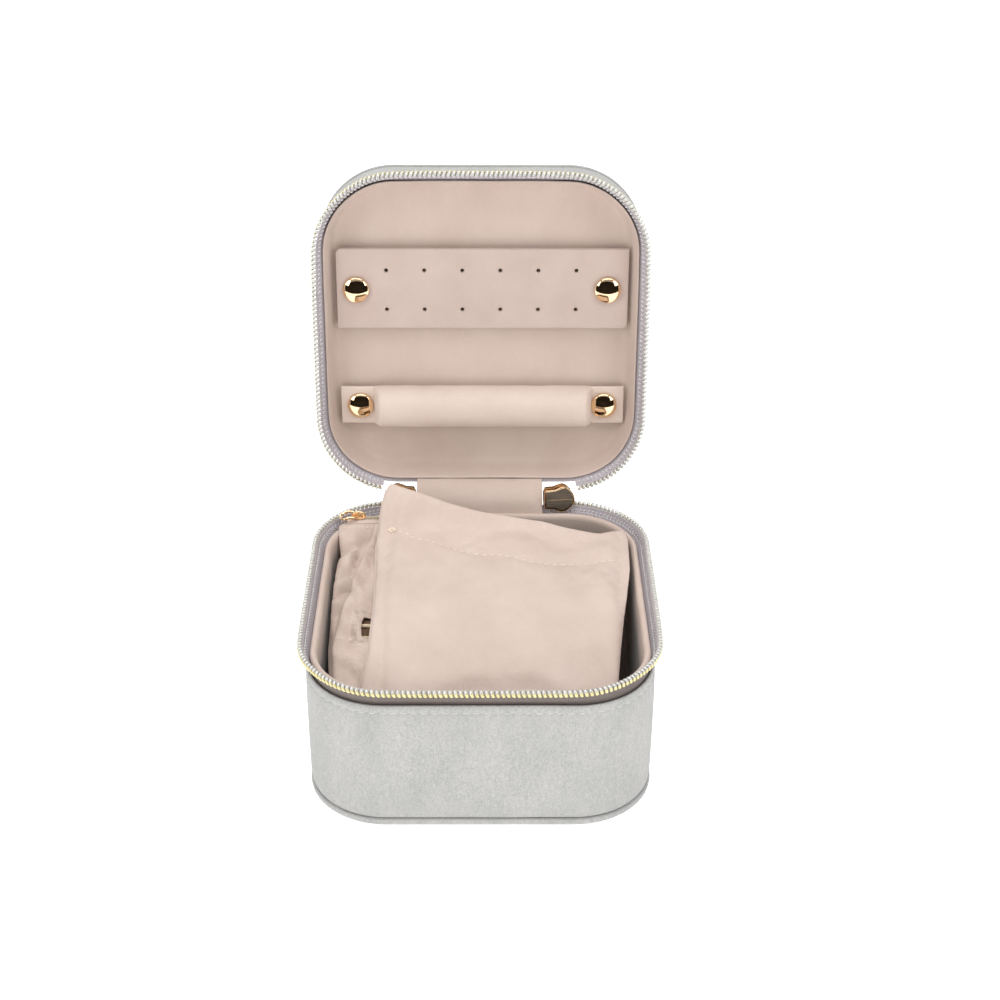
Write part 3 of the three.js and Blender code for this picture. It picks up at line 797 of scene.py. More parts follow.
# ---------------------------------------------------------------- linings
def linings():
    tray = [
        (30, 7.4), (44, 7.4), (46.8, 7.5), (48.0, 8.2), (48.4, 9.8), (48.5, 14), (48.55, 30),
        (48.8, 42.0), (49.05, 44.4), (49.2, 45.6), (49.2, 46.6), (49.3, 47.5), (49.6, 48.15),
        (50.1, 48.5), (50.7, 48.45), (51.15, 48.05), (51.3, 47.4), (51.2, 46.7), (50.85, 46.0),
        (50.75, 45.2), (50.0, 43.6), (49.85, 40), (49.8, 8), (49.6, 4.6), (49.1, 4.1), (30, 4.1),
    ]
    shape = dished(tray, FULL, wobble=crumple(0.14, 11, 7))
    build("tray_lining", *shape, TRAY, "base", "lining", ["tray_wall", "tray_floor_pad"])
    lid = [
        (30, 13.5), (49.6, 13.5), (50.1, 12.7), (50.3, 9.2), (50.75, 7.0), (51.1, 5.4), (51.35, 4.2),
        (51.4, 3.6), (51.2, 3.35), (50.95, 3.6), (50.7, 4.6), (50.2, 7.0), (49.7, 9.2), (49.1, 10.9),
        (48.2, 11.9), (46.8, 12.4), (43, 12.62), (30, 12.62),
    ]
    shape = dished(lid, FULL, lid_place, wobble=crumple(0.10, 12, 9), ease=pulled_in((0.6, 0.6), 19))
    build("lid_lining", *shape, LINING, "lid", "lining", ["lid_lining_panel", "lid_lining_wall"])


def strip(line, thick, left, right, gap=2.0):
    """A strip of cloth between two x values, along a line of (y, z) points. Returns a closed shape."""
    path = catmull(line, 6)
    heading = unit(np.gradient(path, axis=0))
    off = np.stack([-heading[:, 1], heading[:, 0]], 1) * thick / 2
    loop = np.vstack([path + off, (path - off)[::-1]])
    across = np.linspace(left, right, int((right - left) / gap) + 1)
    points = np.vstack([np.column_stack([np.full(len(loop), x), loop]) for x in across])
    sides = len(loop)
    faces, half = skin(len(across), sides), sides // 2
    for at in (0, len(across) - 1):
        for k in range(half - 1):
            faces.append(tuple(at * sides + q for q in (k, k + 1, sides - 2 - k, sides - 1 - k)))
    return points, faces


def hinge():
    """The two strips of cloth at the hinge, between the base and the open lid."""
    points, faces = strip([
        (50.95, 43.0), (51.0, 46.0), (51.6, 48.9), (53.4, 52.4), (56.3, 54.9), (58.8, 56.0), (60.6, 56.3),
    ], 0.6, -21.9, 20.6)
    build("hinge_inner_cloth", crumple(0.16, 9, 3)(points), faces, LINING, None, "lining", ["hinge_inner"],
          sharp=60, blend=("base", "lid", (0, 0.0510, 0.0462), (0, 0.0590, 0.0570)))
    shape = strip([
        (52.2, 44.0), (52.5, 46.2), (53.5, 48.5), (55.7, 51.1), (58.8, 53.5), (62.0, 55.1), (63.8, 55.5),
    ], 0.8, -22.1, 20.75)
    build("hinge_outer_cloth", *shape, VELVET, None, "velvet", ["hinge_outer"],
          sharp=60, blend=("base", "lid", (0, 0.0526, 0.0470), (0, 0.0618, 0.0551)))


# ---------------------------------------------------------------- what the lid carries
CARD_X, CARD_WIDE, CARD_UP = 0.4, 96.0, (57.0, 84.0)
HOLE_ROWS, HOLE_PITCH, HOLE_RADIUS = (63.5, 76.8), 12.48, 0.65
CARD_SNAPS = [(-41.2, 70.4), (41.6, 70.4)]
ROLL_SNAPS = [(-40.9, 29.5), (41.4, 29.5)]


def circle(x, y, radius, steps=14):
    return [(x + radius * math.cos(2 * math.pi * n / steps), y + radius * math.sin(2 * math.pi * n / steps))
            for n in range(steps)]


def card():
    """A cloth-covered board, drawn on the shut lid: its height up the lid is measured from the hinge."""
    edge, near = 0.3, 8.42  # how far the outline grows round the edge, and the depth of the face
    half = np.array([CARD_WIDE, CARD_UP[1] - CARD_UP[0]]) / 2 - edge
    middle = np.array([CARD_X, sum(CARD_UP) / 2])
    outline = middle + half * np.array([(-1, -1), (1, -1), (1, 1), (-1, 1)])
    pins = [((n - 2.5) * HOLE_PITCH, row) for row in HOLE_ROWS for n in range(6)]
    holes = [circle(*pin, HOLE_RADIUS) for pin in pins] + [circle(*snap, 1.9) for snap in CARD_SNAPS]
    flat, faces = patch(outline, holes, 1.5)
    depth = np.full(len(flat), near)
    for pin in pins:
        away = np.linalg.norm(flat - np.array(pin), axis=1)
        depth += 0.22 * np.exp(-((away - HOLE_RADIUS) / 0.55) ** 2) * (away < 2.5)
    for snap in CARD_SNAPS:
        away = np.linalg.norm(flat - np.array(snap), axis=1)
        depth += 0.10 * np.exp(-((away - 4.4) / 1.0) ** 2)
    open_edges = border(faces)
    out = np.zeros((len(flat), 2))
    for i in {i for pair in open_edges for i in pair}:
        if distance_to(outline, flat[i:i + 1])[0] < 0.05:
            offset = flat[i] - middle
            out[i] = np.sign(offset) * (np.abs(np.abs(offset) - half) < 0.3)
    layers = [np.column_stack([flat[:, 0], HINGE_Y - flat[:, 1], depth])]
    rings = [(0.2, 8.48), (0.29, 8.7), (0.29, 10.2), (0.2, 10.42), (0.0, 10.5)]  # the edge: (out, depth)
    for grow, deep in rings:
        grown = flat + out * grow
        layers.append(np.column_stack([grown[:, 0], HINGE_Y - grown[:, 1], np.full(len(flat), deep)]))
    count = len(flat)
    solid = [face[::-1] for face in faces]
    for a, b in open_edges:
        for n in range(0, len(rings) * count, count):
            solid.append((a + n, b + n, b + n + count, a + n + count))
    solid += [tuple(i + len(rings) * count for i in face) for face in faces]
    used = sorted({i for face in solid for i in face})
    index = {old: new for new, old in enumerate(used)}
    points, solid = np.vstack(layers)[used], [tuple(index[i] for i in face) for face in solid]
    build("earring_card_cloth", lid_place(points), solid, CARD, "earring_card", "lining",
          ["earring_card_face", "earring_card_board"], sharp=50)
    parts = []
    for x, up in pins:
        ring = [(a, HINGE_Y - b, 8.62) for a, b in circle(x, up, HOLE_RADIUS + 0.04, 12)]
        parts.append(tube(ring, 0.07, 5, reference=(0, 0.02, 1), closed=True))
    points, faces = gather(parts)
    build("earring_card_hole_edges", lid_place(points), faces, BOARD, "earring_card", "lining", sharp=80)


def roll():
    """The padded roll, whose cloth runs on flat into a tab at each end."""
    left, right = (-47.3, -35.6), (36.7, 48.0)  # where each tab starts and stops
    xs = np.unique(np.concatenate([
        np.linspace(left[0], left[1] - 1.0, 6), np.linspace(left[1] - 1.0, left[1] + 2.6, 13),
        np.linspace(left[1] + 2.6, right[0] - 2.6, 34), np.linspace(right[0] - 2.6, right[0] + 1.0, 13),
        np.linspace(right[0] + 1.0, right[1], 6),
    ]))
    sides = 36
    angle = np.linspace(0, 2 * math.pi, sides, endpoint=False)
    c, s = np.cos(angle), np.sin(angle)
    tab_up, tab_depth = 29.4 + 6.6 * squarer(c, 0.28), 9.9 + 0.6 * squarer(s, 0.5)
    round_up = 29.5 + 7.0 * squarer(c, 0.8)
    rows = []
    for x in xs:
        full = min(1.0, max(0.0, (x - left[1] + 0.6) / 2.6), max(0.0, (right[0] + 0.6 - x) / 2.6))
        full = math.sqrt(full * full * (3 - 2 * full))  # 0 on a tab, 1 on the padded part
        swell = 1 + 0.02 * math.sin(x * 0.31 + 1) + 0.012 * math.sin(x * 0.83)
        round_depth = np.where(s < 0, 8.1 + 6.0 * s * swell, 8.1 + 3.9 * np.abs(s) ** 0.6)
        rows.append(np.column_stack([
            np.full(sides, x), HINGE_Y - (tab_up * (1 - full) + round_up * full),
            tab_depth * (1 - full) + round_depth * full,
        ]))
    points = crumple(0.12, 6, 12)(np.vstack(rows))
    faces = skin(len(xs), sides) + ends(len(xs), sides)
    piece = build("ring_roll_padded", lid_place(points), faces, ROLL, "ring_roll", "lining",
                  ["ring_roll", "ring_tab_left", "ring_tab_right"], sharp=50)


def caps():
    crown, top = 8.2, 2.2  # the radius of the domed crown, and its height over the seat
    profile = [(r, top - crown + math.sqrt(crown ** 2 - r ** 2)) for r in np.linspace(0, 3.95, 14)]
    profile += [(4.16, 1.06), (4.29, 0.86), (4.35, 0.6), (4.35, 0.12), (4.28, 0.0), (1.4, 0.0)]
    profile += [(1.4, -2.4), (0, -2.4)]  # its post
    groups = (("card", "earring_card", 8.1, CARD_SNAPS), ("roll", "ring_roll", 9.0, ROLL_SNAPS))
    for group, body, seat, spots in groups:
        for side, (x, up) in zip(("left", "right"), spots):
            points, faces = lathe(profile, 48)
            points = np.column_stack([points[:, 0] + x, HINGE_Y - up + points[:, 1], seat - points[:, 2]])
            build(f"cap_{group}_{side}", lid_place(points), faces, ROSE_GOLD, body, "gold",
                  [f"snap_cap_{group}_{side}"], sharp=60)


# ---------------------------------------------------------------- sliders and pulls
SLIDER_TILT = 9  # degrees back from upright, as the tape leans
PLATE_OUT, PLATE_FACE = 2.22, 2.66  # from the chain to the middle of a slider's plate, and to its face
SLIDER_TURNS = {"right": 4.93, "left": -2.2}  # degrees; the left one is a mirror image of the right


def slider_place(side):
    """Where a slider sits: its point on the chain, and the directions of its wide end, its outside and up."""
    turn, hand = math.radians(SLIDER_TURNS[side]), 1 if side == "right" else -1
    at = np.array([hand * CORNER - math.sin(turn) * REACH, CORNER + math.cos(turn) * REACH, 53.0])
    along = np.array([math.cos(turn), math.sin(turn), 0]) * hand
    out, up = np.array([-math.sin(turn), math.cos(turn), 0]), np.array([0, 0, 1.0])
    tilt = math.radians(SLIDER_TILT)
    return at, along, out * math.cos(tilt) - up * math.sin(tilt), up * math.cos(tilt) + out * math.sin(tilt)


def sliders():
    face = rounded([
        (-5.2, 3.35), (-1.9, 3.45), (-0.7, 3.9), (0.5, 4.5), (1.6, 4.5), (3.2, 3.7), (4.4, 2.4), (5.1, 0.9),
        (5.1, -0.5), (4.6, -2.0), (3.2, -3.5), (1.2, -4.6), (-0.2, -4.4), (-1.6, -3.5), (-5.2, -3.35),
    ], 0.8)
    inset = np.array(rounded([
        (-4.7, 2.95), (-1.8, 3.05), (-0.6, 3.5), (0.6, 4.0), (1.5, 4.0), (2.9, 3.3), (4.0, 2.1), (4.6, 0.8),
        (4.6, -0.4), (4.1, -1.7), (2.9, -2.9), (1.1, -3.7), (-0.1, -3.5), (-1.5, -2.8), (-4.7, -2.7),
    ], 0.6))
    bridge = rounded([
        (2.3, -2.7), (5.5, -2.7), (5.5, 2.7), (2.3, 2.7), (2.3, 1.8), (4.7, 1.8), (4.7, -1.8), (2.3, -1.8),
    ], 0.5)
    for side in ("right", "left"):
        at, x, y, z = slider_place(side)
        lower = [(px, py - 1.1) for px, py in face]
        plates = [moved(bevelled([face], 0.85, 0.24), (x, z, y), at - y * PLATE_OUT),
                  moved(bevelled([lower], 0.85, 0.24), (x, z, y), at + y * PLATE_OUT)]
        for top in (1, -1):
            flange = rounded([(px, pz * top) for px, pz in (
                (-4.9, 2.75), (-1.8, 2.9), (0.4, 3.9), (1.4, 3.9), (3.6, 2.6), (3.2, 2.2), (0.9, 3.3),
                (-1.7, 2.3), (-4.9, 2.2),
            )], 0.3)
            for out in (-1.45, 1.45):
                plates.append(moved(bevelled([flange], 0.9, 0.12, 1), (x, z, y), at + y * out))
        divider = rounded([(0.4, -1.3), (4.2, -0.6), (4.2, 0.6), (0.4, 1.3)], 0.3)
        plates.append(moved(bevelled([divider], 4.0, 0.1, 1), (x, z, y), at))
        plates.append(moved(bevelled([bridge], 1.7, 0.35), (y, z, x), at))
        for out in (-PLATE_FACE, PLATE_FACE):  # a scored line along the middle
            line = at + np.outer(np.linspace(-4.6, 4.4, 12), x) + y * out
            plates.append(tube(line, 0.08, 6, reference=z))
        for out in (0.015 - PLATE_FACE, PLATE_FACE - 0.015):  # and a raised edge round the inset
            plates.append(tube(flat_line(inset, at + y * out, x, z), 0.07, 5, reference=y, closed=True))
        body = f"slider_{side}"
        build(f"{body}_body", *gather(plates), ROSE_GOLD, body, "gold", [body], sharp=35)
        # The inset panels are real; their darker metal colour is a painted reflection of the dark room.
        panels = [moved(bevelled([inset], 0.1, 0.03, 1), (x, z, y), at + y * out) for out in (-2.63, 2.63)]
        build(f"{body}_face", *gather(panels), FACE_PAINTED_REFLECTION, body, "gold", sharp=35)
        pull(side, at, x)


def flat_line(outline, at, across, up):
    """A flat outline stood in space, its X along one direction and its Y along the other."""
    return at + np.outer(outline[:, 0], across) + np.outer(outline[:, 1], up)


def pull(side, at, x):
    """The pull hangs upright, whichever way its slider tilts."""
    tab = rounded([(-2.9, 0.9), (2.9, 0.9), (2.9, -21.5), (1.8, -24.5), (-1.8, -24.5), (-2.9, -21.5)], 0.9)
    window = rounded([(-1.9, -0.55), (1.9, -0.55), (1.9, -4.6), (1.2, -5.2), (-1.2, -5.2), (-1.9, -4.6)], 0.4)
    raised = [(-1.9, -7.2), (1.9, -7.2), (1.9, -21), (1.1, -23.2), (-1.1, -23.2), (-1.9, -21)]
    raised = np.array(rounded(raised, 0.8))
    y, z = np.array([-x[1], x[0], 0]) * (1 if side == "right" else -1), np.array([0, 0, 1.0])
    pivot = at + y * 3.55 - z * 1.1
    parts = [moved(bevelled([tab, window], 1.0, 0.28), (x, z, y), pivot)]
    for out in (0.5, -0.5):
        parts.append(tube(flat_line(raised, pivot + y * out, x, z), 0.16, 6, reference=y, closed=True))
    build(f"pull_{side}_tab", *gather(parts), ROSE_GOLD, f"pull_{side}", "gold", [f"pull_{side}"], sharp=35)


# ---------------------------------------------------------------- pouches
DRAPE = catmull([
    [-46, 12], [-44, 20], [-38, 31], [-28, 39.5], [-12, 45.5], [5, 48.8], [22, 50.6], [33, 51.8],
    [36, 53.4], [40, 57.2], [46, 62.6],
], 24)
HEMMED = [
    [-30.6, 46.7], [-27.6, 45.3], [-21.4, 43.7], [-12, 41.2], [-2.4, 39.1], [9, 37.6], [20, 36.4],
    [30, 34.4], [39, 32.0], [43, 33.0], [46.8, 34.4], [47.9, 30], [47.5, 14.6], [44.4, -10],
    [41.9, -29.5], [39.8, -42.6], [-36.9, -44], [-36.1, -31], [-33.9, -22], [-32.9, -4], [-33.0, 12],
    [-33.7, 27], [-32.7, 40],
]
HEMMED_UNDER = [[x - 0.8 if x < 0 else x - 0.3, y] for x, y in HEMMED]
DRAWSTRING = [
    [-34.8, 37.6], [-39.5, 13.4], [-42.6, 0.7], [-45.4, -17.8], [-44.6, -33], [-42, -40], [24, -43],
    [36.5, 33.5],
]
ZIPPED = [
    [-47.2, 40.1], [-47.3, 37.6], [-46.7, 34.0], [-46.0, 30.6], [-47.1, 25], [-47.3, 5], [-47.2, -15],
    [-45.8, -31], [-41, -38], [24, -38], [26, 30], [5, 40.1],
]
EYELET = [
    (-37.1, -14.6), (-36.2, -15.4), (-33.8, -15.0), (-33.6, -5.9), (-35.9, -5.4), (-37.0, -6.3), (-37.5, -10.4),
]


def drape(y):
    """The height of the top pouch at each y."""
    return np.interp(y, DRAPE[:, 0], DRAPE[:, 1])


def dents(xy, rows):
    """Soft hollows and swellings: rows of x, y, width, height, how far up, and the degrees each is turned."""
    total = np.zeros(len(xy))
    for x, y, wide, high, amount, turn in rows:
        c, s = math.cos(math.radians(turn)), math.sin(math.radians(turn))
        dx, dy = xy[:, 0] - x, xy[:, 1] - y
        total += amount * np.exp(-(((dx * c + dy * s) / wide) ** 2) - (((dy * c - dx * s) / high) ** 2))
    return total


def settle(points, faces, pins, swell, seed, limit, frames=18):
    """Lets cloth buckle where it has more length than room: a cloth simulation, at 20 times life size."""
    big = 20 * MM
    rng = np.random.default_rng(seed)
    start = np.array(points, float)
    start[:, 2] += rng.normal(0, 0.05, len(start)) * (1 - pins)
    mesh = bpy.data.meshes.new("cloth")
    mesh.from_pydata((start * big).tolist(), [], faces)
    cloth = bpy.data.objects.new("cloth", mesh)
    scene.collection.objects.link(cloth)
    group = cloth.vertex_groups.new(name="pin")
    for i, weight in enumerate(pins):
        if weight > 0:
            group.add([i], float(weight), "REPLACE")
    modifier = cloth.modifiers.new("cloth", "CLOTH")
    settings = modifier.settings
    settings.quality = 6
    settings.mass = 0.3
    settings.tension_stiffness = settings.compression_stiffness = 20
    settings.shear_stiffness = 10
    settings.bending_stiffness = 2.0
    settings.tension_damping = settings.compression_damping = 8
    settings.bending_damping = 0.8
    settings.vertex_group_mass = "pin"
    settings.shrink_min = -swell
    settings.effector_weights.gravity = 0.0
    modifier.collision_settings.use_collision = False
    modifier.point_cache.frame_start, modifier.point_cache.frame_end = 1, frames
    for number in range(1, frames + 1):
        scene.frame_set(number)
    after = cloth.evaluated_get(bpy.context.evaluated_depsgraph_get()).to_mesh()
    result = np.array([v.co[:] for v in after.vertices]) / big
    cloth.to_mesh_clear()
    bpy.data.objects.remove(cloth)
    bpy.data.meshes.remove(mesh)
    scene.frame_set(1)
    shift = result - points
    length = np.linalg.norm(shift, axis=1)[:, None]
    return points + shift * np.minimum(1, limit / np.maximum(length, 1e-9))


def cloth_layer(name, plan, depth, thick, shape, material, swell=0.0, seed=1, holes=()):
    """A pouch's front or back sheet, depth below the drape. With a swell, a simulation puffs it up."""
    body, side = name.rsplit("_", 1)
    gap = 1.5 if side == "front" else 2.2
    outline = rounded(plan, 1.3)
    flat, faces = patch(outline, holes, gap)
    points = np.column_stack([flat, drape(flat[:, 1]) - depth + shape(flat)])
    if swell:
        edge = distance_to(resample(outline, gap), flat)
        points = settle(points, faces, np.clip(1 - edge / 1.2, 0, 1), swell, seed, 0.8)
    piece = build(f"{name}_cloth", *thicken(points, faces, thick), material, body, "pouch", [name], sharp=65)
    return points, faces


def lie_on(xy, points, faces, lift=0.0):
    """Points of the surface above or below each (x, y), and the surface's normals there."""
    tree = BVHTree.FromPolygons([tuple(p) for p in points], faces)
    found, normals = [], []
    for x, y in xy:
        hit, normal, _, _ = tree.ray_cast(Vector((x, y, 100)), Vector((0, 0, -1)))
        if hit is None:
            hit, normal, _, _ = tree.find_nearest(Vector((x, y, float(drape(y)))))
        if normal.z < 0:
            normal = -normal
        found.append(tuple(hit + normal * lift))
        normals.append(tuple(normal))
    return np.array(found), np.array(normals)


FRONT_DENTS = [
    (-6, 12, 30, 18, 0.5, 0), (-30.5, 8, 1.8, 46, -0.5, 0), (-27, 8, 2.2, 40, 0.35, 0),
    (-24, 40, 6, 4, 0.9, 20), (-29, 38, 2.0, 7, -0.7, -15), (-20, 37, 3, 6, -0.5, 25),
    (30, 27, 16, 3.2, -0.9, 10), (14, 27, 12, 3, 0.5, -6), (42, 24, 5, 7, 0.8, 0),
    (44, 30, 3, 4, 0.8, 0), (45.5, -4, 3, 34, -1.6, 0), (38, 2, 5, 25, 0.5, 0),
    *((x, 30.3 - 0.31 * (x + 22), 1.3, 3.2, (-0.32, 0.22)[n % 2], 28)  # puckers along the hem
      for n, x in enumerate((-22, -15.5, -9.5, -4, 1.5, 7))),
    (-4, 27, 6, 2.0, -0.4, 30), (5, 10, 9, 4, 0.35, -35), (10, -18, 25, 14, 0.6, 15),
    (-20, -22, 10, 20, -0.5, -30), (-12, -30, 4, 12, 0.45, -20), (22, -30, 16, 5, -0.4, 8),
    (-23, 31, 1.6, 7, 0.45, 42), (-20, 28, 1.4, 6, -0.45, 38), (-14, 34, 1.5, 5, -0.4, 30),
    (-5, 31, 1.5, 6, 0.4, 22), (22, 22, 10, 1.6, 0.4, 14), (30, 6, 12, 2.2, -0.35, 28),
    (-16, 2, 10, 2.4, 0.3, 40), (6, -4, 12, 2.4, -0.3, -18),
]
DRAWSTRING_DENTS = [
    (-38.0, 24, 1.3, 12, 1.1, -12), (-35.9, 21, 1.2, 13, -1.5, -12), (-41.0, 6, 1.5, 8, -1.4, 15),
    (-38.6, 5, 1.5, 6, 1.0, 20), (-40.6, 9, 1.4, 22, 1.3, 13), (-37.0, 0.6, 3.4, 1.1, -1.0, 10),
    (-42.6, -7, 1.3, 4, 0.8, 8), (-39, -20.4, 5, 1.2, -1.3, -25), (-40, -23.4, 5, 1.4, 1.0, -25),
    (-38, -27.5, 5, 1.5, -1.3, -30), (-43.4, -27, 1.8, 7, 0.8, 0), (-38.8, -10.4, 1.0, 7, 0.3, 0),
]
ZIPPED_DENTS = [
    (-44, 36.2, 5, 2.0, 1.0, 8), (-46.5, 31.2, 4.5, 1.6, -3.2, 18), (-43.6, 27, 2.2, 5, 1.7, -10),
    (-40.4, 28, 1.1, 8, -1.8, -14), (-38.6, 27, 1.2, 8, 1.0, -14), (-44.6, 19.0, 5, 1.5, -1.6, 24),
    (-44.4, 14.6, 5, 2.0, 2.0, 20), (-43.4, 9.6, 5, 1.5, -4.2, 16), (-45.4, 5.2, 3.4, 1.9, 1.5, 10),
    (-44.6, 0.6, 4, 1.5, -1.8, -12), (-45.6, -6, 1.6, 5, 1.5, 0), (-46.8, -13, 1.3, 7, -1.6, 5),
]


def stitched(name, line, points, faces, stitch, material=THREAD, body="drawstring_pouch"):
    """A row of stitches on a pouch, each with a length, the gap after it, a lift and a radius."""
    path, normals = lie_on(line, points, faces)
    length, gap, lift, radius = stitch
    build(name, *thread(path, normals, length, gap, radius, 0, lift), material, body, "pouch", sharp=80)


def pouches():
    hem = catmull([
        (-30.5, 34.6), (-28.8, 34.4), (-18, 28.9), (-4, 21.6), (6.5, 20.3), (17.4, 17.4), (32, 17.2),
        (45.9, 18.2),
    ], 14)

    def front(xy):  # the cloth dips along its hem
        dip, wide = 0.35, 0.8
        return dents(xy, FRONT_DENTS) - dip * np.exp(-(distance_to(hem, xy, False) / wide) ** 2)

    def back(xy):
        gap = 0.1
        return dents(xy, FRONT_DENTS) - gap

    points, faces = cloth_layer("hemmed_pouch_front", HEMMED, 0.0, 0.7, front, POUCH, 0.012, 5)
    stitched("hem_stitches", hem[8:], points, faces, (1.7, 0.9, 0.06, 0.17), body="hemmed_pouch")
    knot(points, faces)
    cloth_layer("hemmed_pouch_back", HEMMED_UNDER, 1.25, 0.6, back, POUCH)


def undented(xy):
    return np.zeros(len(xy))


def knot(points, faces):
    """A small knot of thread where the hem's stitching ends."""
    spot, normals = lie_on([(-29.2, 34.6)], points, faces, 0.3)
    angle = np.linspace(0, 1, 110) * 2 * math.pi * 6.3
    local = np.column_stack([
        1.25 * np.cos(angle) * (0.6 + 0.4 * np.cos(angle * 0.37)),
        0.75 * np.sin(angle) * (0.7 + 0.3 * np.cos(angle * 0.23)),
        0.35 * np.sin(angle * 0.61),
    ])
    n = normals[0]
    x = np.array([0.93, -0.3, 0]) - n * np.dot([0.93, -0.3, 0], n)
    x /= np.linalg.norm(x)
    y = np.cross(n, x)
    line = spot[0] + local @ np.array([x, y, n])
    build("hem_knot", *tube(line, 0.22, 6, reference=n), THREAD, "hemmed_pouch", "pouch", sharp=80)


def drawstring():
    points, faces = cloth_layer(
        "drawstring_pouch_front", DRAWSTRING, 2.3, 0.7, lambda xy: dents(xy, DRAWSTRING_DENTS), INNER_POUCH,
        0.012, 8, holes=[resample(rounded(EYELET, 0.7), 0.6)],
    )
    cloth_layer("drawstring_pouch_back", DRAWSTRING, 4.85, 0.6, undented, INNER_POUCH)

    # A dark sheet under the slot, painted shade for the channel's shadowed inside, which shows through it.
    plan, faces_in = patch(rounded([(-41, -18), (-31, -18), (-31, -2.5), (-41, -2.5)], 1.5))
    inner = np.column_stack([plan, drape(plan[:, 1]) - 4.62])
    build("channel_shade_sheet", *thicken(inner, faces_in, 0.16), CHANNEL_SHADE, "drawstring_pouch", "pouch", sharp=65)

    # Satin stitching round the slot, in three bands, and the seam of the channel beneath it.
    parts, pitch, slant = [], 0.34, 0.12
    bow = np.array([-0.1, 0.06, 0.1, 0.06, -0.1])[:, None]
    bands = ((-37.9, -33.6, -5.2, -3.0), (-40.6, -37.9, -16.6, -3.0), (-37.9, -33.6, -17.0, -15.5))
    for x0, x1, y0, y1 in bands:
        tall = (y1 - y0) > (x1 - x0)
        count = int((y1 - y0 if tall else x1 - x0) / pitch)
        for n in range(count):
            x, y = x0 + (x1 - x0) * (n + 0.5) / count, y0 + (y1 - y0) * (n + 0.5) / count
            start, stop = ((x0, y), (x1, y + slant)) if tall else ((x, y0), (x + slant, y1))
            line, normals = lie_on(np.linspace(start, stop, 5), points, faces)
            parts.append(tube(line + normals * bow, 0.15, 5, reference=normals[2]))
    build("eyelet_satin_stitches", *gather(parts), EYELET_THREAD, "drawstring_pouch", "pouch", sharp=80)
    seam = catmull([(-44.9, -14.6), (-42.5, -15.0), (-39.2, -15.8), (-36, -18.3), (-33.5, -18.6)], 10)
    stitched("channel_stitches", seam, points, faces, (1.3, 0.6, 0.05, 0.15))

    corners = [(-41.6, -8.2), (-20, -8.2), (10, -8.2), (24, -8.2), (25.7, -8.9), (26.4, -10.6), (25.7, -12.3),
               (24, -13), (10, -13), (-20, -13), (-41.8, -13)]
    path = catmull([(x, y, float(drape(y)) - 3.95) for x, y in corners], 14)
    along = lengths(path)
    length = float(along[-1])
    fine = np.stack([np.interp(np.linspace(0, length, 420), along, path[:, k]) for k in range(3)], 1)
    shape = tube(fine, 0.62, 12, lobes=3, lay=4.2)
    cord = build("drawstring_cord_twisted", *shape, CORD, "drawstring_pouch", "cord", ["drawstring_cord"],
                 sharp=80)


def zipped():
    points, faces = cloth_layer(
        "zip_pouch_front", ZIPPED, 6.6, 0.7, lambda xy: dents(xy, ZIPPED_DENTS), INNER_POUCH,
        0.02, 11,
    )
    cloth_layer("zip_pouch_back", ZIPPED, 7.85, 0.6, undented, INNER_POUCH)
    seam = catmull([(-46.3, 39.2), (-30, 39.3), (-15, 39.3), (3.5, 39.3)], 30)
    stitched("zip_pouch_seam", seam, points, faces, (1.1, 0.45, 0.06, 0.15), body="zip_pouch")

    # The pouch's own small zip: tape, then two rows of slanting teeth.
    tape = []
    for y0, y1 in ((40.3, 42.95), (43.85, 44.75)):
        line = np.array([[y0, 50.7], [(y0 + y1) / 2, 50.85], [y1, 50.7]])
        tape.append(strip(line, 0.4, -44.8, 4.0, 3.0))
    build("zip_pouch_tape", *gather(tape), POUCH, "zip_pouch", "pouch", ["zip_pouch_zip"], sharp=60)
    teeth = []
    for n in range(40):
        x = -43.2 + n * 1.18
        for y, slant in ((43.0, 0.25), (43.8, -0.25)):
            line = np.array([[x - slant, y - 0.5, 50.95], [x, y, 51.2], [x + slant, y + 0.5, 50.95]])
            teeth.append(tube(line, np.array([0.28, 0.34, 0.28]), 6, reference=(0, 0, 1)))
    build("zip_pouch_teeth", *gather(teeth), ZIP_TEETH, "zip_pouch", "zip", sharp=80)

    # Its slider, and the wire loop that pulls it.
    at = np.array([-41.0, 43.4, 51.0])
    body = soften([
        (-2.6, -1.1), (-0.9, -1.6), (1.2, -1.6), (2.5, -0.9), (2.5, 0.9), (1.2, 1.6), (-0.9, 1.6),
        (-2.6, 1.1),
    ], 2)
    parts = [moved(bevelled([body], 0.6, 0.15), np.eye(3), at + [0, 0, 0.6])]
    arch = catmull([
        (-1.7, 0, 0.6), (-1.8, 0, 1.5), (-1.1, 0, 2.0), (0, 0, 2.15), (1.1, 0, 2.0), (1.8, 0, 1.5),
        (1.7, 0, 0.6),
    ], 6)
    parts.append(tube(at + arch, 0.5, 10, reference=(0, 1, 0)))
    build("zip_pouch_slider_body", *gather(parts), ROSE_GOLD, "zip_pouch_slider", "gold",
          ["zip_pouch_slider"], sharp=45)
    turn = math.radians(15)
    along = np.array([-math.cos(turn), -math.sin(turn), 0])
    across = np.array([-math.sin(turn), math.cos(turn), 0])
    pivot = np.array([-41.9, 43.2, 52.2])
    loop = soften([(-0.4, -1.9), (-0.4, 1.9), (3.2, 2.3), (5.2, 1.3), (5.2, -1.3), (3.2, -2.3)], 3)
    lift = 0.5 * np.sin(np.clip(loop[:, 0] / 4.6, 0, 1) * math.pi)
    line = flat_line(loop, pivot, along, across) + np.outer(lift, [0, 0, 1])
    build("zip_pouch_pull_loop", *tube(line, 0.5, 10, closed=True), ROSE_GOLD, "zip_pouch_pull", "gold",
          ["zip_pouch_pull"], sharp=60)


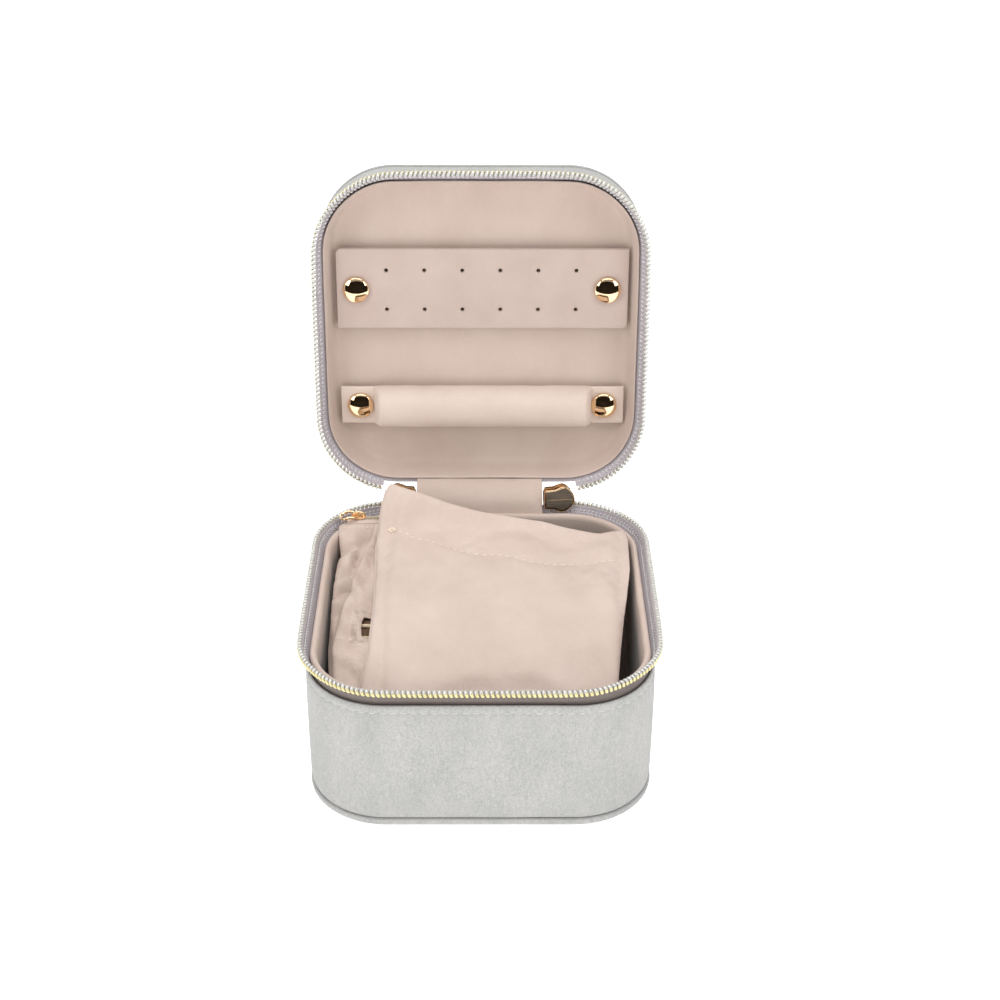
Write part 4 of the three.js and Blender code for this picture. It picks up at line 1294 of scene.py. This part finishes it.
# ---------------------------------------------------------------- camera, light and floor
def camera():
    data = bpy.data.cameras.new("camera")
    data.sensor_width, data.lens = 36, 64.2672
    data.clip_start, data.clip_end = 0.01, 50
    pitch, yaw, lean = math.radians(30.16), math.radians(-0.43), math.radians(0.24)
    ahead = Vector((-math.sin(yaw) * math.cos(pitch), math.cos(yaw) * math.cos(pitch), -math.sin(pitch)))
    right = Vector((math.cos(yaw), math.sin(yaw), 0))
    up = right.cross(ahead)
    x = right * math.cos(lean) + up * math.sin(lean)
    y = -right * math.sin(lean) + up * math.cos(lean)
    eye = bpy.data.objects.new("camera", data)
    turn = Matrix((x, y, -ahead)).transposed().to_4x4()
    place = Vector((2.37, -470.42, 356.57)) * MM
    eye.matrix_world = Matrix.Translation(place) @ turn
    scene.collection.objects.link(eye)
    scene.camera = eye


def lamp(name, place, target, size, power):
    """A white rectangular lamp. Places and sizes are in metres."""
    data = bpy.data.lights.new(name, "AREA")
    data.shape, data.size, data.size_y = "RECTANGLE", *size
    data.energy = power
    light = bpy.data.objects.new(name, data)
    light.location = place
    light.rotation_euler = (Vector(target) - Vector(place)).to_track_quat("-Z", "Y").to_euler()
    scene.collection.objects.link(light)


def studio():
    world = bpy.data.worlds.new("world")
    world.use_nodes = True
    background = world.node_tree.nodes["Background"]
    background.inputs["Color"].default_value = (1, 1, 1, 1)
    # The room is plain white to look at, and gives a softer light than that.
    path = world.node_tree.nodes.new("ShaderNodeLightPath")
    strength = world.node_tree.nodes.new("ShaderNodeMapRange")
    strength.inputs["To Min"].default_value, strength.inputs["To Max"].default_value = 0.40, 1.0
    world.node_tree.links.new(path.outputs["Is Camera Ray"], strength.inputs["Value"])
    world.node_tree.links.new(strength.outputs["Result"], background.inputs["Strength"])
    scene.world = world
    lamp("overhead", (0.0, -0.22, 1.5), (0, 0, 0), (1.6, 1.3), 16.6)
    lamp("front_fill", (0.0, -1.25, 0.22), (0, 0, 0.08), (1.1, 0.4), 2.2)
    lamp("back_light", (0.0, 1.0, 0.65), (0, 0.08, 0.16), (0.7, 0.3), 5.0)
    lamp("left_box", (-0.66, -0.52, 0.52), (0, 0, 0.06), (0.34, 0.42), 1.7)
    lamp("right_box", (0.66, -0.52, 0.52), (0, 0, 0.06), (0.34, 0.42), 1.4)


def backdrop(name, corners, faces, look):
    """A piece of the studio, not of the case."""
    mesh = bpy.data.meshes.new(name)
    mesh.from_pydata(corners, [], faces)
    mesh.materials.append(look.material)
    item = bpy.data.objects.new(name, mesh)
    scene.collection.objects.link(item)
    return item


def floor():
    floor_look = Graph("floor", Roughness=0.9)
    floor_look.shader.inputs["Base Color"].default_value = (0.93, 0.93, 0.93, 1)
    floor_look.shader.inputs["Emission Color"].default_value = (1, 1, 1, 1)
    # It glows a little, and more from 1.5 m out, where the lamps no longer reach, so there is no horizon.
    away = floor_look.add("ShaderNodeVectorMath", operation="LENGTH")
    floor_look.tree.links.new(floor_look.place["Object"], away.inputs[0])
    glow = floor_look.span(away.outputs["Value"], 1.5, 4.0, 0.5, 0.75)
    floor_look.tree.links.new(glow, floor_look.shader.inputs["Emission Strength"])
    far = 40
    corners = [(-far, -far, 0), (far, -far, 0), (far, far, 0), (-far, far, 0)]
    backdrop("floor", corners, [(0, 1, 2, 3)], floor_look)


def flags():
    """Black flags, which only reflections see, to darken polished metal. The front one is an arch."""
    flag_look = Graph("flag", Roughness=1.0)
    flag_look.shader.inputs["Base Color"].default_value = (0.012, 0.010, 0.008, 1)
    flag_look.shader.inputs["Specular IOR Level"].default_value = 0.0
    shapes = {  # the degrees it spreads to each side, the way it faces, and rows of (distance, height)
        "front_flag": (72, 0, ((0.21, 0.004), (1.0, 0.10), (1.12, 0.5), (1.12, 1.05))),
        "back_flag": (9, 180, ((0.80, 0.02), (0.84, 0.60))),
    }
    steps = 33
    for name, (spread, facing, rows) in shapes.items():
        corners = []
        for far, z in rows:
            for a in np.radians(np.linspace(-spread, spread, steps)):
                reach = far / math.cos(a) if z < 0.01 else far  # the edge on the floor is straight
                turn = a + math.radians(facing)
                height = z * math.cos(a) ** 1.6 if z > 0.2 else z
                corners.append((reach * math.sin(turn), -reach * math.cos(turn), height))
        flag = backdrop(name, corners, skin(len(rows), steps, ring=False), flag_look)
        flag.visible_camera = flag.visible_diffuse = flag.visible_shadow = flag.visible_transmission = False


camera()
studio()
floor()
flags()
scene.view_settings.view_transform = "Standard"
shell()
zips()
linings()
hinge()
card()
roll()
caps()
sliders()
pouches()
drawstring()
zipped()

for node in ("base_bottom", "base_wall", "tray_floor", "lid_wall", "lid_top"):
    finish_node(f"{node}_board", BOARD)
finish_node("lid_foam_pad", BOARD)
for node in ("card_left", "card_right", "roll_left", "roll_right"):
    finish_node(f"snap_socket_{node}", ROSE_GOLD)
